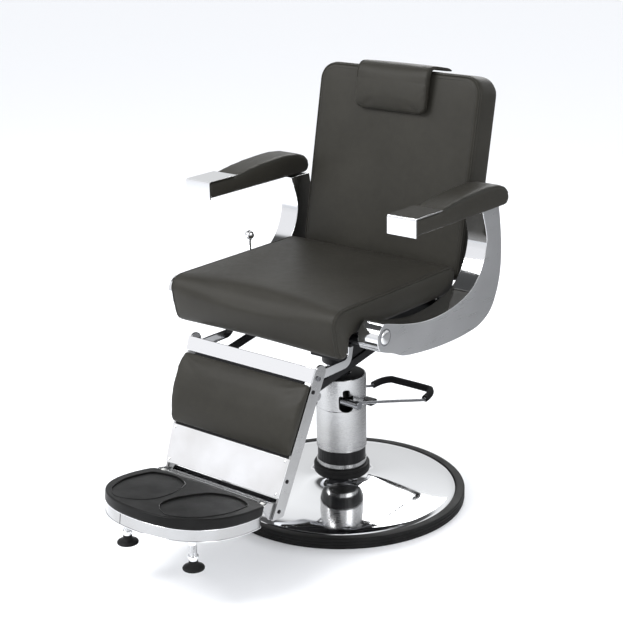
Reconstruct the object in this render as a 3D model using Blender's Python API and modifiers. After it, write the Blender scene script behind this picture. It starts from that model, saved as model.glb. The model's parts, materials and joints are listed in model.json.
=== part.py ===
"""Hydraulic barber chair: a pump column on a round base, a tilting back with a coupled leg-rest.

Units are metres, +Z is up, the chair faces -Y and +X is the sitter's left. The origin is on the floor,
at the centre of the base. The ram stands part way up, which is the rest position of every joint.
"""

import math

import bmesh
import bpy
from mathutils import Matrix, Vector

# ---- driving dimensions -------------------------------------------------------------------------
GAP = 0.0004                 # air between pieces that touch

BASE_R = 0.330               # outside of the rubber ring
DISH_R = 0.309               # outside of the chrome dish
BASE_H = 0.029               # height of the rubber ring
PLATE_R = 0.300              # steel ballast plate inside the dish
PLATE_T = 0.012

SHROUD_R = 0.0667            # chrome column cover
SHROUD_Z = (0.147, 0.350)
SHROUD_WALL = 0.0016
COLLAR_R = 0.0747            # rubber collar at the foot of the column
COLLAR_Z = (0.074, 0.099)
BAND_Z = (0.0995, 0.112)     # grey band above the collar
HOUSING_R = 0.0640           # pump reservoir, seen between the band and the shroud
HOUSING_NECK_R = 0.034
RAM_R = 0.0220
RAM_Z = (0.110, 0.392)
PUMP_AXIS = (-0.045, 0.292)  # y, z of the foot lever's shaft
LEVER_X = 0.090
LEVER_END_X = 0.066              # half the spacing of its two arms
LEVER_SLOPE = math.radians(15.5)
LEVER_REACH = 0.312          # along the arm, from the shaft to the bend
LEVER_ROD_R = 0.0040
GRIP_R = 0.0095

SEAT_X = 0.266               # half the width of the cushion
SEAT_TOP = 0.663
SEAT_UNDER = 0.5800
SEAT_REAR = 0.146
FRAME_X = 0.245              # half the width of the seat frame's top plate

ARM_X = (0.282, 0.365)       # inner and outer side of an armrest
ARM_Z = (0.811, 0.858)
ARM_FRONT = -0.178
CFRAME_X = (0.279, 0.337)    # inner and outer side of a side frame
BOLT_YZ = (-0.259, 0.588)

BACK_FOOT = (0.159, 0.654)   # y, z of the lower edge of the back's front face
BACK_TILT = math.radians(10.9)
BACK_X = 0.262
BACK_LOW = -0.050             # lower edge of the pad, below the front face's reference
BACK_H = 0.478
BACK_PAD_T = 0.066
BACK_PANEL_T = 0.008
BACK_COVER_T = 0.025
HEAD_X = 0.116

RECLINE_YZ = (0.190, 0.575)  # axis of the back
LEG_YZ = (-0.347, 0.482)     # axis of the leg-rest
CRANK = 0.050                # both cranks of the link's parallelogram
CRANK_LEAN = math.radians(10.0)
LINK_X = (0.165, 0.173)

LEG_TOP = (-0.356, 0.510)    # y, z of the top edge of the leg-rest's front plane
LEG_TILT = math.radians(22.9)
LEG_TAPER = 0.065            # each side bar leans in by this much per metre
SIDE_BAR_X = (0.199, 0.205)
SIDE_BAR_W = 0.038
BAR_SET_BACK = 0.0060        # the side bars' front edges lie this far behind the leg-rest's plane
SIDE_BAR_S = (-0.012, 0.376)

STEP_REAR = (-0.520, 0.2156) # y, z of the footrest's rear top edge
STEP_TILT = math.radians(8.0)
STEP_X = 0.190
STEP_LONG = 0.2525
STEP_WIDEST = 0.065          # distance of its widest place from the rear edge
STEP_POWER = 2.4             # of the superellipse in front
TREAD_T = 0.026
PAN_T = 0.030
STEP_HINGE = (-0.509, 0.200)
GLIDE_XY = (0.108, -0.692)
GLIDE_FOOT = 0.098           # height of the glides' soles

LEVER_KNOB = (-0.2735, -0.039, 0.691)
LEVER_PIVOT_Z = 0.540


# ---- scene and materials ------------------------------------------------------------------------
def clear_scene():
    for obj in list(bpy.data.objects):
        bpy.data.objects.remove(obj, do_unlink=True)


def material(name, colour, roughness, metallic):
    made = bpy.data.materials.new(name)
    made.use_nodes = True
    shader = made.node_tree.nodes["Principled BSDF"]
    shader.inputs["Base Color"].default_value = (*colour, 1.0)
    shader.inputs["Roughness"].default_value = roughness
    shader.inputs["Metallic"].default_value = metallic
    return made


clear_scene()
PARTS = bpy.data.collections.new("hydraulic_barber_chair")
bpy.context.scene.collection.children.link(PARTS)
CHROME = material("chrome", (0.80, 0.81, 0.83), 0.08, 1.0)
SATIN = material("satin_metal", (0.70, 0.71, 0.73), 0.30, 1.0)
STEEL = material("steel", (0.45, 0.46, 0.48), 0.35, 1.0)
BLACK = material("black_paint", (0.015, 0.015, 0.016), 0.40, 0.0)
RUBBER = material("rubber", (0.018, 0.018, 0.019), 0.65, 0.0)
LEATHER = material("leather", (0.058, 0.054, 0.047), 0.45, 0.0)


# ---- making solids ------------------------------------------------------------------------------
def add_object(name, mesh, paint):
    mesh.materials.clear()
    mesh.materials.append(paint)
    obj = bpy.data.objects.new(name, mesh)
    PARTS.objects.link(obj)
    return obj


def mesh_of(obj):
    """The object's evaluated mesh, in world space, with a curve's caps welded on."""
    bpy.context.view_layer.update()
    graph = bpy.context.evaluated_depsgraph_get()
    mesh = bpy.data.meshes.new_from_object(obj.evaluated_get(graph))
    mesh.transform(obj.matrix_world)
    work = bmesh.new()
    work.from_mesh(mesh)
    bmesh.ops.remove_doubles(work, verts=work.verts, dist=1e-6)
    work.to_mesh(mesh)
    work.free()
    return mesh


def settle(obj, paint):
    """Replaces the object by a plain mesh object of the same name, placed in its mesh."""
    mesh = mesh_of(obj)
    name = obj.name
    bpy.data.objects.remove(obj, do_unlink=True)
    return add_object(name, mesh, paint)


def bevelled(obj, paint, width, segments=2):
    if width <= 0:
        return obj
    bevel = obj.modifiers.new("edge", "BEVEL")
    bevel.width = width
    bevel.segments = segments
    bevel.limit_method = "ANGLE"
    bevel.angle_limit = math.radians(40)
    return settle(obj, paint)


def box(name, paint, low, high, edge=0.0):
    work = bmesh.new()
    bmesh.ops.create_cube(work, size=1.0)
    for vert in work.verts:
        for i in range(3):
            vert.co[i] = (low[i] + high[i]) / 2 + vert.co[i] * (high[i] - low[i])
    mesh = bpy.data.meshes.new(name)
    work.to_mesh(mesh)
    work.free()
    return bevelled(add_object(name, mesh, paint), paint, edge)


def rod(name, paint, start, end, radius, sides=20):
    """A round bar between two points."""
    start, end = Vector(start), Vector(end)
    along = end - start
    work = bmesh.new()
    bmesh.ops.create_cone(
        work, cap_ends=True, segments=sides, radius1=radius, radius2=radius, depth=along.length
    )
    turn = Vector((0, 0, 1)).rotation_difference(along).to_matrix().to_4x4()
    work.transform(Matrix.Translation((start + end) / 2) @ turn)
    mesh = bpy.data.meshes.new(name)
    work.to_mesh(mesh)
    work.free()
    obj = add_object(name, mesh, paint)
    obj.data.shade_smooth()
    obj.data.set_sharp_from_angle(angle=math.radians(35))
    return obj


def cross_rod(name, paint, yz, x_from, x_to, radius, sides=20):
    return rod(name, paint, (x_from, *yz), (x_to, *yz), radius, sides)


def turned(name, paint, profile, steps=48, closed=True, centre=(0.0, 0.0)):
    """A profile of (radius, z) points, from the top of its outer side down, turned round a vertical axis."""
    mesh = bpy.data.meshes.new(name)
    count = len(profile)
    edges = [(i, i + 1) for i in range(count - 1)] + ([(count - 1, 0)] if closed else [])
    mesh.from_pydata([(r, 0, z) for r, z in profile], edges, [])
    obj = add_object(name, mesh, paint)
    obj.location = (*centre, 0)
    screw = obj.modifiers.new("turn", "SCREW")
    screw.steps = screw.render_steps = steps
    screw.use_merge_vertices = True
    screw.merge_threshold = 0.0001
    screw.use_smooth_shade = True
    return settle(obj, paint)


def outline_solid(name, paint, points, low, high, frame, edge=0.0):
    """A flat outline, extruded from low to high along the third axis of the frame."""
    curve = bpy.data.curves.new(name, "CURVE")
    curve.dimensions = "2D"
    curve.fill_mode = "BOTH"
    curve.extrude = (high - low) / 2
    spline = curve.splines.new("POLY")
    spline.points.add(len(points) - 1)
    for point, (a, b) in zip(spline.points, points):
        point.co = (a, b, 0, 1)
    spline.use_cyclic_u = True
    obj = bpy.data.objects.new(name, curve)
    PARTS.objects.link(obj)
    obj.matrix_world = frame @ Matrix.Translation((0, 0, (low + high) / 2))
    return bevelled(settle(obj, paint), paint, edge)


def tube_along(name, paint, points, radius, smooth=True):
    """A round bar bent along points."""
    curve = bpy.data.curves.new(name, "CURVE")
    curve.dimensions = "3D"
    curve.bevel_depth = radius
    curve.bevel_resolution = 2
    curve.use_fill_caps = True
    spline = curve.splines.new("POLY")
    spline.points.add(len(points) - 1)
    for point, place in zip(spline.points, points):
        point.co = (*place, 1)
    obj = bpy.data.objects.new(name, curve)
    PARTS.objects.link(obj)
    obj = settle(obj, paint)
    if smooth:
        obj.data.shade_smooth()
        obj.data.set_sharp_from_angle(angle=math.radians(50))
    return obj


def combine(obj, others, operation):
    """Joins or cuts with each of the other objects, which are then removed."""
    paint = obj.data.materials[0]
    for other in others:
        change = obj.modifiers.new("boolean", "BOOLEAN")
        change.operation = operation
        change.solver = "EXACT"
        change.object = other
        obj = settle(obj, paint)
        bpy.data.objects.remove(other, do_unlink=True)
    return obj


def join(obj, *others):
    return combine(obj, others, "UNION")


def cut(obj, *others):
    return combine(obj, others, "DIFFERENCE")


def arc(centre, radius, start, end, steps):
    """Points on a circle, between two angles in degrees."""
    made = []
    for i in range(steps + 1):
        angle = math.radians(start + (end - start) * i / steps)
        made.append((centre[0] + radius * math.cos(angle), centre[1] + radius * math.sin(angle)))
    return made


def frame_of(origin, x_axis, y_axis):
    """A matrix whose columns are the two axes and their cross product."""
    x_axis, y_axis = Vector(x_axis), Vector(y_axis)
    made = Matrix((x_axis, y_axis, x_axis.cross(y_axis))).transposed().to_4x4()
    made.translation = origin
    return made


FLAT = Matrix.Identity(4)
SIDE = frame_of((0, 0, 0), (0, 1, 0), (0, 0, 1))        # outline in y and z, extruded along x
BACK_UP = Vector((0, math.sin(BACK_TILT), math.cos(BACK_TILT)))
BACK_REARWARD = Vector((0, math.cos(BACK_TILT), -math.sin(BACK_TILT)))
BACK_FACE = frame_of((0, *BACK_FOOT), (1, 0, 0), BACK_UP)      # third axis points forward
BACK_SIDE = frame_of((0, *BACK_FOOT), BACK_REARWARD, BACK_UP)  # outline in depth and height
LEG_DOWN = Vector((0, -math.sin(LEG_TILT), -math.cos(LEG_TILT)))
LEG_FORWARD = Vector((0, -math.cos(LEG_TILT), math.sin(LEG_TILT)))
LEG_FACE = frame_of((0, *LEG_TOP), (1, 0, 0), -LEG_DOWN)       # third axis points forward
STEP_FRAME = Matrix.Translation((0, *STEP_REAR)) @ Matrix.Rotation(-STEP_TILT, 4, "X")


def mirrored_pair(make):
    """Calls make(side, name ending) for the left side, +1, and the right side, -1, of the sitter."""
    return [make(1, "left"), make(-1, "right")]


def span(side, x_pair):
    """The x range of a piece on one side of the chair, low value first."""
    return sorted((side * x_pair[0], side * x_pair[1]))


# ---- base and column ----------------------------------------------------------------------------
def make_base():
    turned("base_plate", STEEL, [(0, PLATE_T), (PLATE_R, PLATE_T), (PLATE_R, 0), (0, 0)], closed=False)
    ribs = 3
    ring = [(BASE_R - 0.004, BASE_H)]
    for i in range(ribs):
        top = BASE_H - 0.003 - i * 0.008
        ring += [(BASE_R, top), (BASE_R, top - 0.005), (BASE_R - 0.0015, top - 0.0065)]
    ring += [(BASE_R - 0.002, 0), (DISH_R - 0.004, 0), (DISH_R - 0.004, 0.006)]
    ring += [(DISH_R + GAP, 0.006), (DISH_R + GAP, BASE_H)]
    turned("base_rubber_ring", RUBBER, ring, steps=48)
    top_side = [(COLLAR_R - 0.004, 0.0735), (0.082, 0.066), (0.096, 0.0595), (0.125, 0.054)]
    top_side += [(0.175, 0.0485), (0.225, 0.0435), (0.265, 0.0385), (0.290, 0.0340), (0.302, 0.0295)]
    top_side += [(DISH_R, 0.022), (DISH_R, 0.007)]
    wall = 0.002
    under = [(DISH_R - wall, 0.007), (DISH_R - wall, 0.021), (0.301, 0.0272), (0.289, 0.0317)]
    under += [(0.264, 0.0362), (0.224, 0.0412), (0.174, 0.0462), (0.124, 0.0517), (0.095, 0.0570)]
    under += [(0.0805, 0.0635), (COLLAR_R - 0.0042, 0.0700)]
    turned("base_cover", CHROME, top_side + under, steps=48)
    turned(
        "column_collar",
        RUBBER,
        [(COLLAR_R - 0.004, COLLAR_Z[1]), (COLLAR_R, COLLAR_Z[1] - 0.005), (COLLAR_R, COLLAR_Z[0] + 0.006)]
        + [(COLLAR_R - 0.004, COLLAR_Z[0]), (HOUSING_R + GAP, COLLAR_Z[0]), (HOUSING_R + GAP, COLLAR_Z[1])],
        steps=40,
    )
    turned(
        "column_band",
        SATIN,
        [(SHROUD_R, BAND_Z[1]), (SHROUD_R, BAND_Z[0]), (HOUSING_R + GAP, BAND_Z[0]), (HOUSING_R + GAP, BAND_Z[1])],
        steps=40,
    )


def make_pump():
    bore = RAM_R + GAP
    bottom = PLATE_T + GAP
    housing = [(0, bottom + 0.006), (bore, bottom + 0.006), (bore, 0.330), (HOUSING_NECK_R, 0.330)]
    housing += [(HOUSING_NECK_R, 0.165), (HOUSING_R - 0.003, 0.165), (HOUSING_R, 0.160)]
    housing += [(HOUSING_R, bottom), (0, bottom)]
    turned("pump_housing", BLACK, housing, steps=40, closed=False)
    shroud = [(SHROUD_R - 0.002, SHROUD_Z[1]), (SHROUD_R, SHROUD_Z[1] - 0.002), (SHROUD_R, SHROUD_Z[0])]
    shroud += [(SHROUD_R - SHROUD_WALL, SHROUD_Z[0]), (SHROUD_R - SHROUD_WALL, SHROUD_Z[1] - 0.003)]
    shroud += [(RAM_R + 0.004, SHROUD_Z[1] - 0.003), (RAM_R + 0.004, SHROUD_Z[1])]
    shroud = turned("column_shroud", CHROME, shroud, steps=48)
    y, z = PUMP_AXIS
    slot = box("slot", BLACK, (-0.1, y - 0.0105, z - 0.031), (0.1, y + 0.017, z + 0.014))
    notch = box("notch", BLACK, (-0.1, y - 0.003, z + 0.010), (0.1, y + 0.008, z + 0.030))
    cut(shroud, slot, notch)
    block = box("pump_block", BLACK, (-0.030, -0.0560, z - 0.016), (0.030, -HOUSING_NECK_R - GAP, z + 0.018), 0.002)
    cut(block, cross_rod("bore", BLACK, PUMP_AXIS, -0.1, 0.1, 0.0095 + GAP))
    buffer = box("column_buffer", RUBBER, (SHROUD_R - 0.024, 0.030, 0.261), (0.076, 0.058, 0.276), 0.002)
    cut(buffer, turned("round", BLACK, [(0, 0.4), (SHROUD_R + GAP, 0.4), (SHROUD_R + GAP, 0.2), (0, 0.2)], closed=False))
    rod("ram", STEEL, (0, 0, RAM_Z[0]), (0, 0, RAM_Z[1]), RAM_R, 32)
    turned(
        "swivel_bearing",
        STEEL,
        [(0.040, 0.3842), (0.040, 0.3762), (RAM_R + GAP, 0.3762), (RAM_R + GAP, 0.3842)],
        steps=32,
    )


def make_pump_lever():
    y, z = PUMP_AXIS
    shaft = cross_rod("pump_lever_bar", STEEL, PUMP_AXIS, -LEVER_X - 0.006, LEVER_X + 0.006, 0.0095)
    back = (y + LEVER_REACH * math.cos(LEVER_SLOPE), z + 0.006 - LEVER_REACH * math.sin(LEVER_SLOPE))
    far = (back[0] + 0.060, back[1] + 0.006)

    def along(share):
        return tuple(back[i] + (far[i] - back[i]) * share for i in range(2))

    half = [(LEVER_X, y, z + 0.006), (LEVER_X, *back), (LEVER_X - 0.005, *along(0.40)), (LEVER_END_X, *far)]
    loop = half + [(-px, py, pz) for px, py, pz in reversed(half)]
    bar = tube_along("arms", STEEL, loop, LEVER_ROD_R)
    join(shaft, bar)
    covered = [(LEVER_X - 0.0015, *along(0.12))] + half[2:]
    covered += [(-px, py, pz) for px, py, pz in reversed(covered)]
    grip = tube_along("pump_lever_grip", RUBBER, covered, GRIP_R)
    inner = tube_along("inner", RUBBER, loop, LEVER_ROD_R + GAP)
    cut(grip, inner)


# ---- seat structure -----------------------------------------------------------------------------
def make_seat_frame():
    hub_top = 0.4040
    hub = [(0, hub_top), (0.0500, hub_top), (0.0500, 0.3850), (RAM_R + GAP, 0.3850), (RAM_R + GAP, RAM_Z[1] + 0.004)]
    hub.append((0, RAM_Z[1] + 0.004))
    turned("swivel_hub", BLACK, hub, steps=36, closed=False)
    frame = box("seat_frame", BLACK, (-0.057, -0.055, hub_top + GAP), (0.057, 0.165, 0.4140))
    top = box("top", BLACK, (-FRAME_X, -0.2735, 0.5480), (FRAME_X, 0.1250, 0.5560))
    pieces = [box("rail", BLACK, (s - 0.006, -0.050, 0.4050), (s + 0.006, 0.160, 0.4400)) for s in (-0.050, 0.050)]
    pieces.append(box("post", BLACK, (-0.035, -0.035, 0.4100), (0.035, 0.035, 0.4750)))
    pieces.append(box("shelf", BLACK, (-0.120, -0.142, 0.4700), (0.120, 0.112, 0.4800)))
    pieces += [box("riser", BLACK, (s - 0.006, -0.140, 0.4750), (s + 0.006, 0.110, 0.5500)) for s in (-0.112, 0.112)]
    pieces.append(top)
    for y in (-0.262, 0.075):
        pieces.append(cross_rod("tube", BLACK, (y, 0.5670), -CFRAME_X[0] + GAP, CFRAME_X[0] - GAP, 0.0115, 16))
    for side in (1, -1):
        low, high = span(side, (0.188, 0.196))
        y, z = RECLINE_YZ
        ear = [(0.100, 0.5490), (0.120, 0.5490)] + arc((y, z), 0.0165, -70, 110, 8) + [(0.100, 0.5550)]
        pieces.append(outline_solid("ear", BLACK, ear, low, high, SIDE))
    frame = join(frame, *pieces)
    holes = [cross_rod("hole", BLACK, RECLINE_YZ, *span(s, (0.18, 0.21)), 0.0060 + GAP, 16) for s in (1, -1)]
    cut(frame, *holes)
    box("seat_board", BLACK, (-0.238, -0.2485, 0.5564), (0.238, 0.0615, 0.5795))
    cross_rod("recline_lever_pin", STEEL, (LEVER_KNOB[1], LEVER_PIVOT_Z + 0.012), -0.2783, -FRAME_X - GAP, 0.0035, 12)


def make_seat_cushion():
    profile = arc((-0.3300, 0.6300), 0.0330, 100, 190, 5)
    profile += [(-0.3520, 0.5900), (-0.3400, 0.5500), (-0.3300, 0.5380), (-0.3100, 0.5330), (-0.2950, 0.5420)]
    profile += [(-0.2880, 0.5800), (0.1200, SEAT_UNDER), (0.1420, 0.5980), (SEAT_REAR, 0.6250)]
    profile += [(SEAT_REAR, 0.6450), (0.1400, 0.6580), (0.1200, SEAT_TOP)]
    outline_solid("seat_cushion", LEATHER, profile, -SEAT_X, SEAT_X, SIDE, 0.012)


def side_frame_outline():
    """The casting that carries an armrest: a foot at the front, a long curve below and an upright behind."""
    outer = [(0.2220, ARM_Z[0] - GAP), (0.2340, 0.7450), (0.2390, 0.6850), (0.2360, 0.6300), (0.2210, 0.5800)]
    outer += [(0.1930, 0.5370), (0.1460, 0.5120), (0.0900, 0.5035), (0.0200, 0.5015), (-0.0730, 0.5060)]
    outer += [(-0.1790, 0.5200), (-0.2300, 0.5400)]
    nose = arc((-0.2520, 0.5840), 0.0370, 232, 98, 8)
    inner = [(-0.1900, 0.6020), (-0.1220, 0.5880), (-0.0640, 0.5830), (-0.0090, 0.5850), (0.0460, 0.5940)]
    inner += [(0.0970, 0.6110), (0.1360, 0.6420), (0.1600, 0.6830), (0.1700, 0.7250), (0.1630, 0.7600)]
    inner += [(0.1450, ARM_Z[0] - GAP)]
    return outer + nose + inner


def make_arm(side, ending):
    low, high = span(side, CFRAME_X)
    frame = outline_solid("side_frame_" + ending, SATIN, side_frame_outline(), low, high, SIDE, 0.003)
    cut(frame, cross_rod("bore", STEEL, BOLT_YZ, *span(side, (0.25, 0.36)), 0.0065 + GAP, 16))
    bolt = cross_rod("side_frame_bolt_" + ending, CHROME, BOLT_YZ, *span(side, (0.2835, 0.3390)), 0.0065, 16)
    head = cross_rod("head", CHROME, BOLT_YZ, *span(side, (CFRAME_X[1] + GAP, 0.3415)), 0.0175, 28)
    join(bolt, bevelled(head, CHROME, 0.0012, 1))
    low, high = span(side, ARM_X)
    front = ARM_FRONT + 0.004
    pad = [(front + GAP, ARM_Z[0]), (0.2160, ARM_Z[0]), (0.2290, 0.8160), (0.2345, 0.8300), (0.2310, 0.8470)]
    pad += [(0.2170, 0.8630), (0.1900, 0.8730), (0.1450, 0.8780), (0.0900, 0.8775), (0.0300, 0.8730), (-0.0200, 0.8670)]
    pad.append((-0.0700, 0.8590))
    pad += [(front + GAP, 0.8570)]
    pad = outline_solid("armrest_pad_" + ending, LEATHER, pad, low, high, SIDE, 0.004)
    cut(pad, box("step", LEATHER, (low - 0.01, front - 0.01, 0.8546), (high + 0.01, -0.0700, 0.9)))
    cap = [(ARM_FRONT, ARM_Z[0]), (front, ARM_Z[0]), (front, 0.8550), (-0.0704, 0.8550), (-0.0704, ARM_Z[1])]
    cap += [(ARM_FRONT + 0.002, ARM_Z[1]), (ARM_FRONT, ARM_Z[1] - 0.002)]
    outline_solid("armrest_cap_" + ending, CHROME, cap, low, high, SIDE)


def make_recline_lever():
    x, y, z = LEVER_KNOB
    pivot = (y, LEVER_PIVOT_Z + 0.012)
    lever = rod("recline_lever_rod", CHROME, (x, y, pivot[1]), (x, y, z - 0.0122), 0.0038, 14)
    eye = cross_rod("eye", CHROME, pivot, x - 0.004, x + 0.004, 0.0085, 20)
    lever = join(lever, eye)
    cut(lever, cross_rod("bore", CHROME, pivot, x - 0.02, x + 0.02, 0.0035 + GAP, 12))
    work = bmesh.new()
    bmesh.ops.create_uvsphere(work, u_segments=20, v_segments=12, radius=0.0125)
    work.transform(Matrix.Translation((x, y, z)))
    mesh = bpy.data.meshes.new("recline_lever_knob")
    work.to_mesh(mesh)
    work.free()
    knob = add_object("recline_lever_knob", mesh, CHROME)
    cut(knob, box("flat", CHROME, (x - 0.02, y - 0.02, z - 0.02), (x + 0.02, y + 0.02, z - 0.0118)))


# ---- back and headrest --------------------------------------------------------------------------
def back_outline(half, top, corner, bottom_corner=0.016):
    """Half width, height and corner radii of the back's outline, seen from the front."""
    right = arc((half - bottom_corner, BACK_LOW + bottom_corner), bottom_corner, -90, 0, 3)
    right += arc((half - corner, top - corner), corner, 0, 90, 6)
    left = [(-a, b) for a, b in reversed(right)]
    return right + left


def crank_end(axis):
    return (axis[0] + CRANK * math.sin(CRANK_LEAN), axis[1] - CRANK * math.cos(CRANK_LEAN))


def bar_outline(start, end, half_width, steps=6):
    """A flat bar with round ends between two points."""
    turn = math.degrees(math.atan2(end[1] - start[1], end[0] - start[0]))
    return arc(end, half_width, turn - 90, turn + 90, steps) + arc(start, half_width, turn + 90, turn + 270, steps)


def make_back():
    depth = BACK_PAD_T
    outline_solid("backrest_pad", LEATHER, back_outline(BACK_X, BACK_H, 0.048), -depth, 0, BACK_FACE, 0.010)
    front = depth + GAP
    rear = front + BACK_PANEL_T
    panel = outline_solid(
        "backrest_frame", BLACK, back_outline(BACK_X - 0.012, BACK_H - 0.012, 0.040), -rear, -front, BACK_FACE
    )
    pin = crank_end(RECLINE_YZ)
    axis = Vector((0, *RECLINE_YZ)) - Vector((0, *BACK_FOOT))
    depth, height = axis.dot(BACK_REARWARD), axis.dot(BACK_UP)
    inside = 0.0005
    arm = arc((depth, height), 0.0130, 180, 350, 8)
    arm += [(rear - inside, BACK_LOW), (rear - inside, 0.050), (front + inside, 0.050)]
    arm += [(front + inside, BACK_LOW - 0.0015), (depth + 0.004, BACK_LOW - 0.0030), (depth - 0.008, height + 0.0125)]
    pieces = []
    for side in (1, -1):
        low, high = span(side, (0.1765, 0.1845))
        pieces.append(outline_solid("upper", BLACK, arm, low, high, BACK_SIDE))
        crank = bar_outline(pin, RECLINE_YZ, 0.0115)
        pieces.append(outline_solid("lower", BLACK, crank, low + inside, high - inside, SIDE))
        pieces.append(cross_rod("pivot", BLACK, RECLINE_YZ, *span(side, (0.1800, 0.1990)), 0.0060, 16))
        pieces.append(cross_rod("pin", BLACK, pin, *span(side, (0.1635, 0.1800)), 0.0040, 12))
    panel = join(panel, *pieces)
    start = rear + GAP
    cover = outline_solid(
        "backrest_cover", LEATHER, back_outline(BACK_X, BACK_H, 0.048), -start - BACK_COVER_T, -start, BACK_FACE,
        0.008
    )
    socket = outline_solid(
        "socket", BLACK, [(-0.0305, 0.30), (0.0305, 0.30), (0.0305, 0.60), (-0.0305, 0.60)],
        -start - 0.0072, -start + 0.001, BACK_FACE
    )
    cut(cover, socket)


def make_headrest():
    """A pad that hangs over the top of the back, on a flat steel post in the cover's slot."""
    front, top, low = -0.026, BACK_H + 0.017, 0.358
    under = BACK_H + GAP + 0.001
    outline = [(-0.004, low), (front + 0.008, low + 0.002), (front, low + 0.012), (front, top - 0.032)]
    outline += [(front + 0.008, top - 0.012), (front + 0.024, top - 0.002), (0.010, top), (0.072, top)]
    outline += [(0.088, top - 0.005), (0.097, top - 0.014), (0.098, under), (-0.001, under), (-0.001, low)]
    pad = outline_solid("headrest_pad", LEATHER, outline, -HEAD_X, HEAD_X, BACK_SIDE, 0.004)
    corner = 0.026
    for side in (1, -1):
        centre = (HEAD_X - corner, low + corner)
        ring = arc(centre, corner, -90, 0, 6) + [(HEAD_X + 0.01, low + corner), (HEAD_X + 0.01, low - 0.01)]
        ring.append((HEAD_X - corner, low - 0.01))
        ring = [(side * a, b) for a, b in ring]
        pad = cut(pad, outline_solid("corner", LEATHER, ring, -0.010, 0.040, BACK_FACE))
    start = BACK_PAD_T + BACK_PANEL_T + 2 * GAP + 0.0005
    slot = [(start - 0.0004, under - 0.01), (start + 0.0064, under - 0.01), (start + 0.0064, under + 0.0074)]
    slot.append((start - 0.0004, under + 0.0074))
    cut(pad, outline_solid("slot", LEATHER, slot, -0.0304, 0.0304, BACK_SIDE))
    post = [(start, 0.306), (start + 0.006, 0.306), (start + 0.006, under + 0.007), (start, under + 0.007)]
    outline_solid("headrest_post", STEEL, post, -0.030, 0.030, BACK_SIDE)


# ---- leg-rest -----------------------------------------------------------------------------------
def on_leg(down, forward):
    """y, z of a point by its distance down the leg-rest and in front of its plane."""
    place = Vector((0, *LEG_TOP)) + LEG_DOWN * down + LEG_FORWARD * forward
    return (place.y, place.z)


def lean_in(obj, side):
    """Leans a side piece in towards the middle, by its distance down the leg-rest."""
    for vert in obj.data.vertices:
        down = (vert.co - Vector((vert.co.x, *LEG_TOP))).dot(LEG_DOWN)
        vert.co.x -= side * LEG_TAPER * max(down, 0)
    return obj


def make_side_bar(side, ending):
    low, high = span(side, SIDE_BAR_X)
    start, end = SIDE_BAR_S
    half = SIDE_BAR_W / 2
    outline = arc((0, 0), half, 0, 180, 8)
    points = [on_leg(start + half - b, a - half - BAR_SET_BACK) for a, b in outline]
    points += [on_leg(end - 0.016, -SIDE_BAR_W - BAR_SET_BACK), on_leg(end, -BAR_SET_BACK)]
    bar = lean_in(outline_solid("legrest_side_bar_" + ending, SATIN, points, low, high, SIDE), side)
    pin = crank_end(LEG_YZ)
    lug = outline_solid("lug", SATIN, bar_outline(on_leg(0.062, -0.032), pin, 0.0105), *span(side, (0.1765, 0.1985)), SIDE)
    peg = cross_rod("peg", SATIN, pin, *span(side, (0.1635, 0.1800)), 0.0040, 12)
    bar = join(bar, lug, peg)
    cut(bar, cross_rod("bore", SATIN, LEG_YZ, *span(side, (0.19, 0.22)), 0.0060 + GAP, 16))


def make_leg_bracket(side, ending):
    """The bent arm under the seat's front corner that carries the leg-rest's pivot."""
    low, high = span(side, (0.1885, 0.1950))
    y, z = LEG_YZ
    half = 0.011
    outer = arc((y, z), half + 0.001, 80, 270, 8)
    outer += arc((-0.232, z + 0.020), 0.031, 270, 355, 6) + [(-0.1900, 0.5476), (-0.2160, 0.5476)]
    outer += arc((-0.232, z + 0.026), 0.015, 0, -88, 4)
    bracket = outline_solid("legrest_bracket_" + ending, CHROME, outer, low, high, SIDE, 0.0012)
    cut(bracket, cross_rod("bore", CHROME, LEG_YZ, *span(side, (0.18, 0.21)), 0.0060 + GAP, 16))
    cross_rod("legrest_pin_" + ending, STEEL, LEG_YZ, *span(side, (0.1880, 0.2062)), 0.0060, 16)


def leg_panel(name, paint, down, half_widths, back, front, edge=0.0):
    """A flat piece between the side bars: its place down the leg-rest, half widths and depth range."""
    corners = [(half_widths[0], -down[0]), (half_widths[1], -down[1])]
    points = corners + [(-a, b) for a, b in reversed(corners)]
    return outline_solid(name, paint, points, back, front, LEG_FACE, edge)


def bar_inside(down):
    """Half the clear width between the side bars at a place down the leg-rest."""
    return SIDE_BAR_X[0] - LEG_TAPER * max(down, 0) - GAP


def bar_outside(down):
    """Half the width over the side bars."""
    return SIDE_BAR_X[1] - LEG_TAPER * max(down, 0)


def make_leg_rest():
    mirrored_pair(make_side_bar)
    mirrored_pair(make_leg_bracket)
    skin = -BAR_SET_BACK + GAP
    ends = (0.0, 0.036)
    leg_panel("legrest_top_bar", CHROME, ends, [bar_outside(d) for d in ends], skin, 0, 0.001)
    ends = (0.0385, 0.2195)
    leg_panel("legrest_pad", LEATHER, ends, [bar_outside(d) for d in ends], skin, 0.0180, 0.006)
    ends = (0.2215, 0.3190)
    leg_panel("kick_plate", CHROME, ends, [bar_outside(d) for d in ends], skin, -0.0015, 0.0008)
    ends = (0.0120, 0.3120)
    board = leg_panel("legrest_board", BLACK, ends, [bar_inside(d) for d in ends], skin - 0.0084, skin - GAP)
    corners = [
        box("corner", BLACK, (min(s * 0.174, s * 0.21), -0.40, 0.415), (max(s * 0.174, s * 0.21), -0.30, 0.520))
        for s in (1, -1)
    ]
    cut(board, *corners)
    strip = [on_leg(0.3240, -0.0260), on_leg(0.3240, -0.0230), on_leg(0.3480, -0.0060), on_leg(0.3480, -0.0090)]
    outline_solid("legrest_bottom_strip", CHROME, strip, -0.1694, 0.1694, SIDE)


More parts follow.
